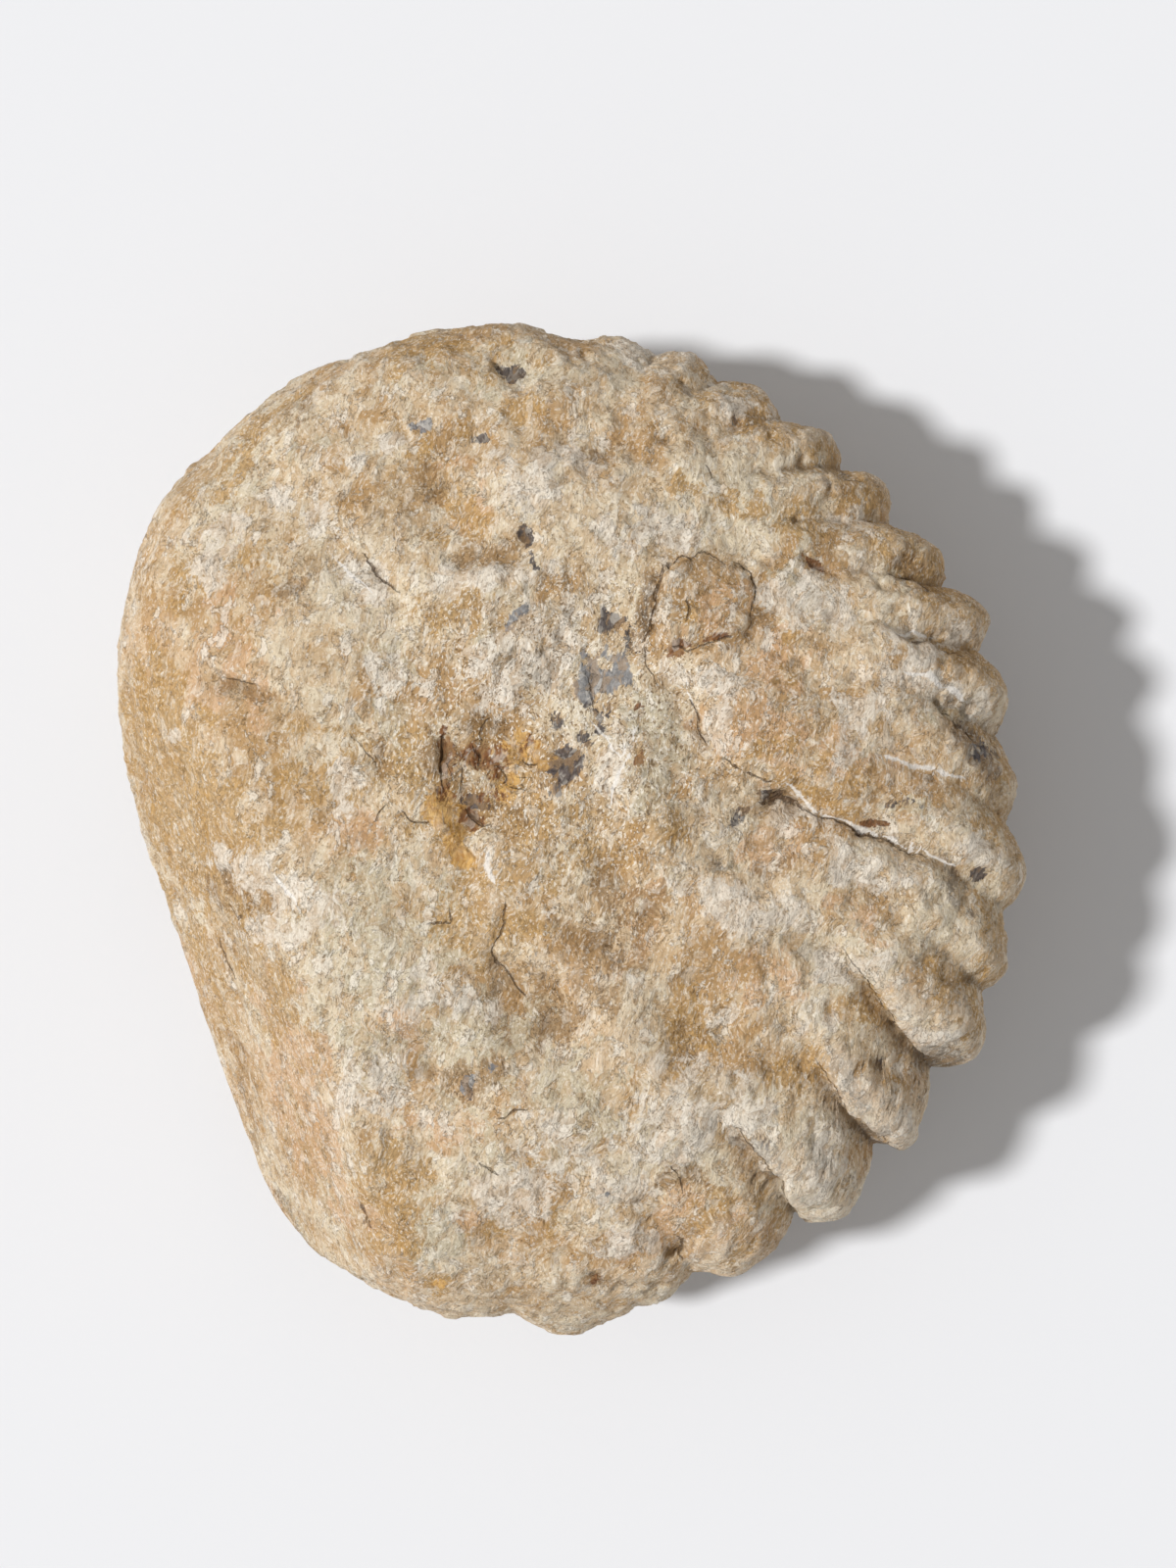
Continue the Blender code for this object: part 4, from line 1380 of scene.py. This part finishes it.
class Limestone(Graph):
    """The stone's material: a brushed ground, and layers of stain, fleck, painted shade and highlight on
    cuts, hollows and crests, and line over it.
    """

    def __init__(self, finish: LimestoneFinish) -> None:
        """Draws the patterns and reads the fields that the layers share.

        Args:
            finish: What the stone looks like.
        """
        self.material = bpy.data.materials.new("weathered_limestone")
        self.material.use_nodes = True
        super().__init__(self.material.node_tree)
        self.finish = finish
        place = self.add("ShaderNodeTexCoord", {}).outputs["Object"]
        scaled = self.add("ShaderNodeVectorMath", {0: place, "Scale": 1 / METRES_PER_MM}, operation="SCALE")
        at = scaled.outputs[0]
        swayed = self.vector("MULTIPLY_ADD", self.lumps(at, *finish.sway_noise).outputs[1], finish.sway, at)
        bent = self.drawn_out(swayed.outputs[0], finish.brush_turn, finish.brush_scale)
        self.flake = self.noises(bent, *finish.flake_noise)
        self.speck = self.noises(bent, *finish.speck_noise)
        self.grit = self.noises(bent, *finish.grit_noise)
        scored = self.drawn_out(at, finish.score_turn, finish.score_scale)
        self.scores = self.lumps(scored, *finish.score_noise).outputs[0]
        self.facet, self.facet_tone = self.facets(bent, finish.facet_size)
        self.chip, self.chip_tone = self.facets(bent, finish.chip_size)
        self.face, self.crisp = self.attribute("face"), self.attribute("crisp")
        self.fields = {stain: self.attribute(stain.value) for stain in Stain}
        self.masks = self.stain_masks()
        self.clear: Value = 1.0
        for stain in MINERALS:
            self.clear = self.times(self.clear, self.math("SUBTRACT", 1.0, self.masks[stain]))
        line_edge = line_group()
        self.vein = self.line(line_edge, "vein", finish.vein_wander)
        self.crack = self.line(line_edge, "crack", finish.crack_wander)
        self.colour = self.ground()

    def stain_masks(self) -> dict[Stain, Socket]:
        """Tears the stains' edges by flakes and specks.

        Returns:
            Where each stain lies, from 0 to its strength.
        """
        tree = stain_group()
        edge = self.plus(self.flake[2], self.finish.specks_in_edges, self.speck[0])
        masks = {}
        for stain, look in STAIN_FINISHES.items():
            values = {"Ragged": look.ragged, "Softness": look.softness, "Strength": look.strength}
            masks[stain] = self.group(tree, {"Field": self.fields[stain], "Roughness": edge, **values})
        return masks

    def line(self, tree: bpy.types.NodeTree, name: str, wander: float) -> Socket:
        """Draws one kind of line from its two fields.

        Args:
            tree: The line group.
            name: The kind's name, with which its fields' names start.
            wander: How far flakes push it aside, in mm.

        Returns:
            1 on the lines, 0 off them.
        """
        inputs = {
            "Side": self.attribute(f"{name}_side"),
            "Width": self.attribute(f"{name}_width"),
            "Wander": self.times(self.flake[0], wander),
            "Swell": self.flake[2],
        }
        return self.group(tree, inputs)

    def ground(self) -> Socket:
        """Paints brown, tan and cream in flakes and facets, tinted warm and cool in slow patches.

        Returns:
            The colour that the layers go over.
        """
        finish = self.finish
        tone = self.plus(self.attribute("tone"), finish.flakes_in_tone, self.flake[0])
        tone = self.plus(tone, finish.facets_in_tone, self.facet_tone)
        tone = self.plus(tone, finish.chips_in_tone, self.chip_tone)
        colour = self.mix(self.rise(tone, *finish.tan_over_brown), finish.brown, finish.tan)
        colour = self.mix(self.rise(tone, *finish.cream_over_tan), colour, finish.cream)
        warmth = self.plus(self.attribute("warmth"), finish.flakes_in_warmth, self.flake[1])
        peach, ash = STAIN_FINISHES[Stain.PEACH], STAIN_FINISHES[Stain.ASH]
        colour = self.mix(self.rise(warmth, *finish.warm_tint), colour, peach.light)
        return self.mix(self.fall(warmth, *finish.cool_tint), colour, ash.light)

    def cover(self, share: Value, over: Value) -> None:
        """Lays a colour over the stone, by a share."""
        self.colour = self.mix(share, self.colour, over)

    def stain(self, flakes: Socket, chips: Socket) -> None:
        """Lays the stains, with the flakes and chips of the crust just above the ochre.

        Args:
            flakes: Where the crust stands in pale flakes.
            chips: Where it has gone and brown stone shows.
        """
        finish = self.finish
        shade = self.rise(self.speck[1], *finish.light_shade)
        for stain, look in STAIN_FINISHES.items():
            self.cover(self.masks[stain], self.mix(shade, look.dark, look.light))
            if stain is Stain.OCHRE:
                self.cover(self.times(flakes, finish.pale_flake_cover), finish.crust)
                self.cover(self.times(chips, finish.brown_flake_cover), finish.brown)

    def fleck(self) -> None:
        """Adds pale and dark flecks, clear of the minerals."""
        finish = self.finish
        fleck = self.plus(self.speck[2], finish.umber_flecking, self.fields[Stain.UMBER])
        fleck = self.times(self.clear, fleck)
        self.cover(self.rise(fleck, *finish.pale_flecks), finish.crust)
        self.cover(self.fall(fleck, *finish.dark_flecks), finish.dirt_and_shade)

    def score(self) -> None:
        """Draws the grain of the broken face, pale and brown."""
        finish = self.finish
        self.cover(self.times(self.face, self.rise(self.scores, *finish.pale_scores)), finish.cream)
        dark = self.rise(self.math("SUBTRACT", 1.0, self.scores), *finish.dark_scores)
        self.cover(self.times(self.face, dark), finish.brown)

    def add_grit(self) -> None:
        """Adds the finest grains, pale and dark, clear of the minerals and crispest in the middle."""
        finish = self.finish
        crisp = self.times(self.crisp, self.clear)
        self.cover(self.times(crisp, self.rise(self.grit[0], *finish.pale_grit)), finish.crust)
        self.cover(self.times(crisp, self.rise(self.grit[1], *finish.dark_grit)), finish.dirt_and_shade)

    def draw_lines(self) -> None:
        """Draws the veins, and over them the cracks, which specks break up."""
        finish = self.finish
        self.cover(self.times(self.vein, finish.vein_cover), finish.vein)
        kept = self.math("ADD", self.rise(self.speck[2], *finish.whole_cracks), finish.least_crack_cover)
        self.cover(self.times(self.crack, kept), finish.crack)

    def build(self) -> bpy.types.Material:
        """Lays every layer, and gives the stone its finest relief.

        Returns:
            Weathered limestone: a brushed ground, pale and brown flakes, the placed stains with painted shade
            under overhangs, veins and cracks, painted shade in the hollows and highlight on the crests,
            painted shade and highlight on the chips, and a fine grain.
        """
        finish = self.finish
        pale = self.plus(self.flake[1], finish.chalk_flaking, self.fields[Stain.CHALK])
        pale = self.plus(pale, finish.ochre_flaking, self.fields[Stain.OCHRE])
        flakes = self.rise(pale, *finish.pale_flakes)
        brown = self.plus(self.flake[2], finish.umber_flaking, self.fields[Stain.UMBER])
        chips = self.fall(brown, *finish.brown_flakes)
        cut = self.plus(self.times(self.facet, finish.facet_tilt), finish.chip_tilt, self.chip)
        cut = self.times(cut, self.plus(finish.least_cut, finish.crisp_cut, self.crisp))

        self.stain(flakes, chips)
        self.fleck()
        self.score()
        # Painted shade on the low side of each tilted chip and facet, and painted highlight on its raised
        # side.
        self.cover(self.fall(cut, *finish.painted_shade_on_cuts), finish.brown)
        self.cover(self.rise(cut, *finish.painted_highlight_on_cuts), finish.crust)
        self.add_grit()
        # Painted shade in the hollows and painted highlight on the crests, by how far each point lies below
        # its neighbours.
        hollow = self.attribute("hollow")
        self.cover(self.rise(hollow, *finish.painted_shade_in_hollows), finish.dirt_and_shade)
        self.cover(self.fall(hollow, *finish.painted_highlight_on_crests), finish.crust)
        self.draw_lines()

        height = self.plus(cut, finish.flake_depth, flakes)
        height = self.plus(height, -finish.flake_depth, chips)
        height = self.plus(height, finish.grain_depth, self.flake[0])
        height = self.plus(height, finish.speck_depth_share * finish.grain_depth, self.speck[0])
        height = self.plus(height, -finish.crack_depth, self.crack)
        height = self.plus(height, finish.score_depth, self.times(self.scores, self.face))
        bump = self.add("ShaderNodeBump", {"Height": height, "Strength": 1.0, "Distance": METRES_PER_MM})
        dull = self.plus(finish.roughness, -finish.mineral_polish, self.masks[Stain.SLATE])
        dull = self.plus(dull, -finish.mineral_polish, self.masks[Stain.AMBER])
        inputs = {
            "Base Color": self.colour,
            "Roughness": dull,
            "Normal": bump.outputs[0],
            "Specular IOR Level": finish.specular,
        }
        surface = self.add("ShaderNodeBsdfPrincipled", inputs)
        self.add("ShaderNodeOutputMaterial", {"Surface": surface.outputs[0]})
        return self.material


@dataclass
class Studio:
    """A pale floor, one soft key light, an even sky and a camera that looks straight down.

    Attributes:
        distance: From the camera to the stone's mid-plane, in metres.
        image_height: How much of the mid-plane the frame's height shows, in metres.
        aim: East and north of the middle of the frame, in metres.
        mid_plane: Its height above the floor, in metres.
        key_elevation: Degrees that the key light stands above the horizon.
        key_bearing: Degrees from east, anticlockwise, at which it stands.
        key_softness: Its width, in degrees.
    """

    distance: float = 0.48
    image_height: float = 0.2318
    aim: Place = (0.0030, 0.0074)
    mid_plane: float = 0.030
    key_elevation: float = 54.0
    key_bearing: float = 184.0
    key_strength: float = 2.80
    key_softness: float = 6.0
    sky_strength: float = 0.38
    floor_size: float = 6.0
    floor_colour: Colour = paint(229, 230, 233)
    floor_roughness: float = 0.7
    sky_colour: Colour = (1.0, 0.985, 0.965, 1.0)
    sensor_height: float = 24.0

    def build(self) -> None:
        """Makes the floor, the lights and the camera."""
        self.make_floor()
        self.make_lights()
        self.make_camera()

    def make_floor(self) -> None:
        """Lays a plain pale floor."""
        half = self.floor_size / 2
        mesh = bpy.data.meshes.new("floor")
        corners = [(-half, -half, 0.0), (half, -half, 0.0), (half, half, 0.0), (-half, half, 0.0)]
        mesh.from_pydata(corners, [], [(0, 1, 2, 3)])
        material = bpy.data.materials.new("pale_floor")
        material.use_nodes = True
        shader = material.node_tree.nodes["Principled BSDF"]
        shader.inputs["Base Color"].default_value = self.floor_colour
        shader.inputs["Roughness"].default_value = self.floor_roughness
        mesh.materials.append(material)
        floor = bpy.data.objects.new("floor", mesh)
        bpy.context.scene.collection.objects.link(floor)

    def make_lights(self) -> None:
        """Sets a soft key light on the west side, and an even sky."""
        scene = bpy.context.scene
        light = bpy.data.lights.new("key", "SUN")
        light.energy = self.key_strength
        light.angle = math.radians(self.key_softness)
        key = bpy.data.objects.new("key", light)
        raised, turned = math.radians(self.key_elevation), math.radians(self.key_bearing)
        level = math.cos(raised)
        towards = Vector((level * math.cos(turned), level * math.sin(turned), math.sin(raised)))
        key.rotation_euler = towards.to_track_quat("Z", "Y").to_euler()
        scene.collection.objects.link(key)
        world = bpy.data.worlds.new("sky")
        world.use_nodes = True
        sky = world.node_tree.nodes["Background"]
        sky.inputs["Color"].default_value = self.sky_colour
        sky.inputs["Strength"].default_value = self.sky_strength
        scene.world = world
        scene.view_settings.view_transform = "Standard"

    def make_camera(self) -> None:
        """Hangs the camera over the stone, with the field of view that fits the frame's height."""
        lens = bpy.data.cameras.new("camera")
        lens.sensor_fit = "VERTICAL"
        lens.sensor_height = self.sensor_height
        lens.lens = lens.sensor_height * self.distance / self.image_height
        camera = bpy.data.objects.new("camera", lens)
        camera.location = (*self.aim, self.mid_plane + self.distance)
        bpy.context.scene.collection.objects.link(camera)
        bpy.context.scene.camera = camera


def main() -> None:
    """Builds the studio and the stone."""
    logging.basicConfig(level=logging.INFO, format="%(name)s: %(message)s")
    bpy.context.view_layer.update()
    Studio().build()
    stone = WeatheredStone().build()
    stone.data.materials.append(Limestone(LimestoneFinish()).build())
    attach(stone, "root")
    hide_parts(CAD_NODE)
    log.info("%s: %d points", stone.name, len(stone.data.vertices))


if __name__ == "__main__":
    main()
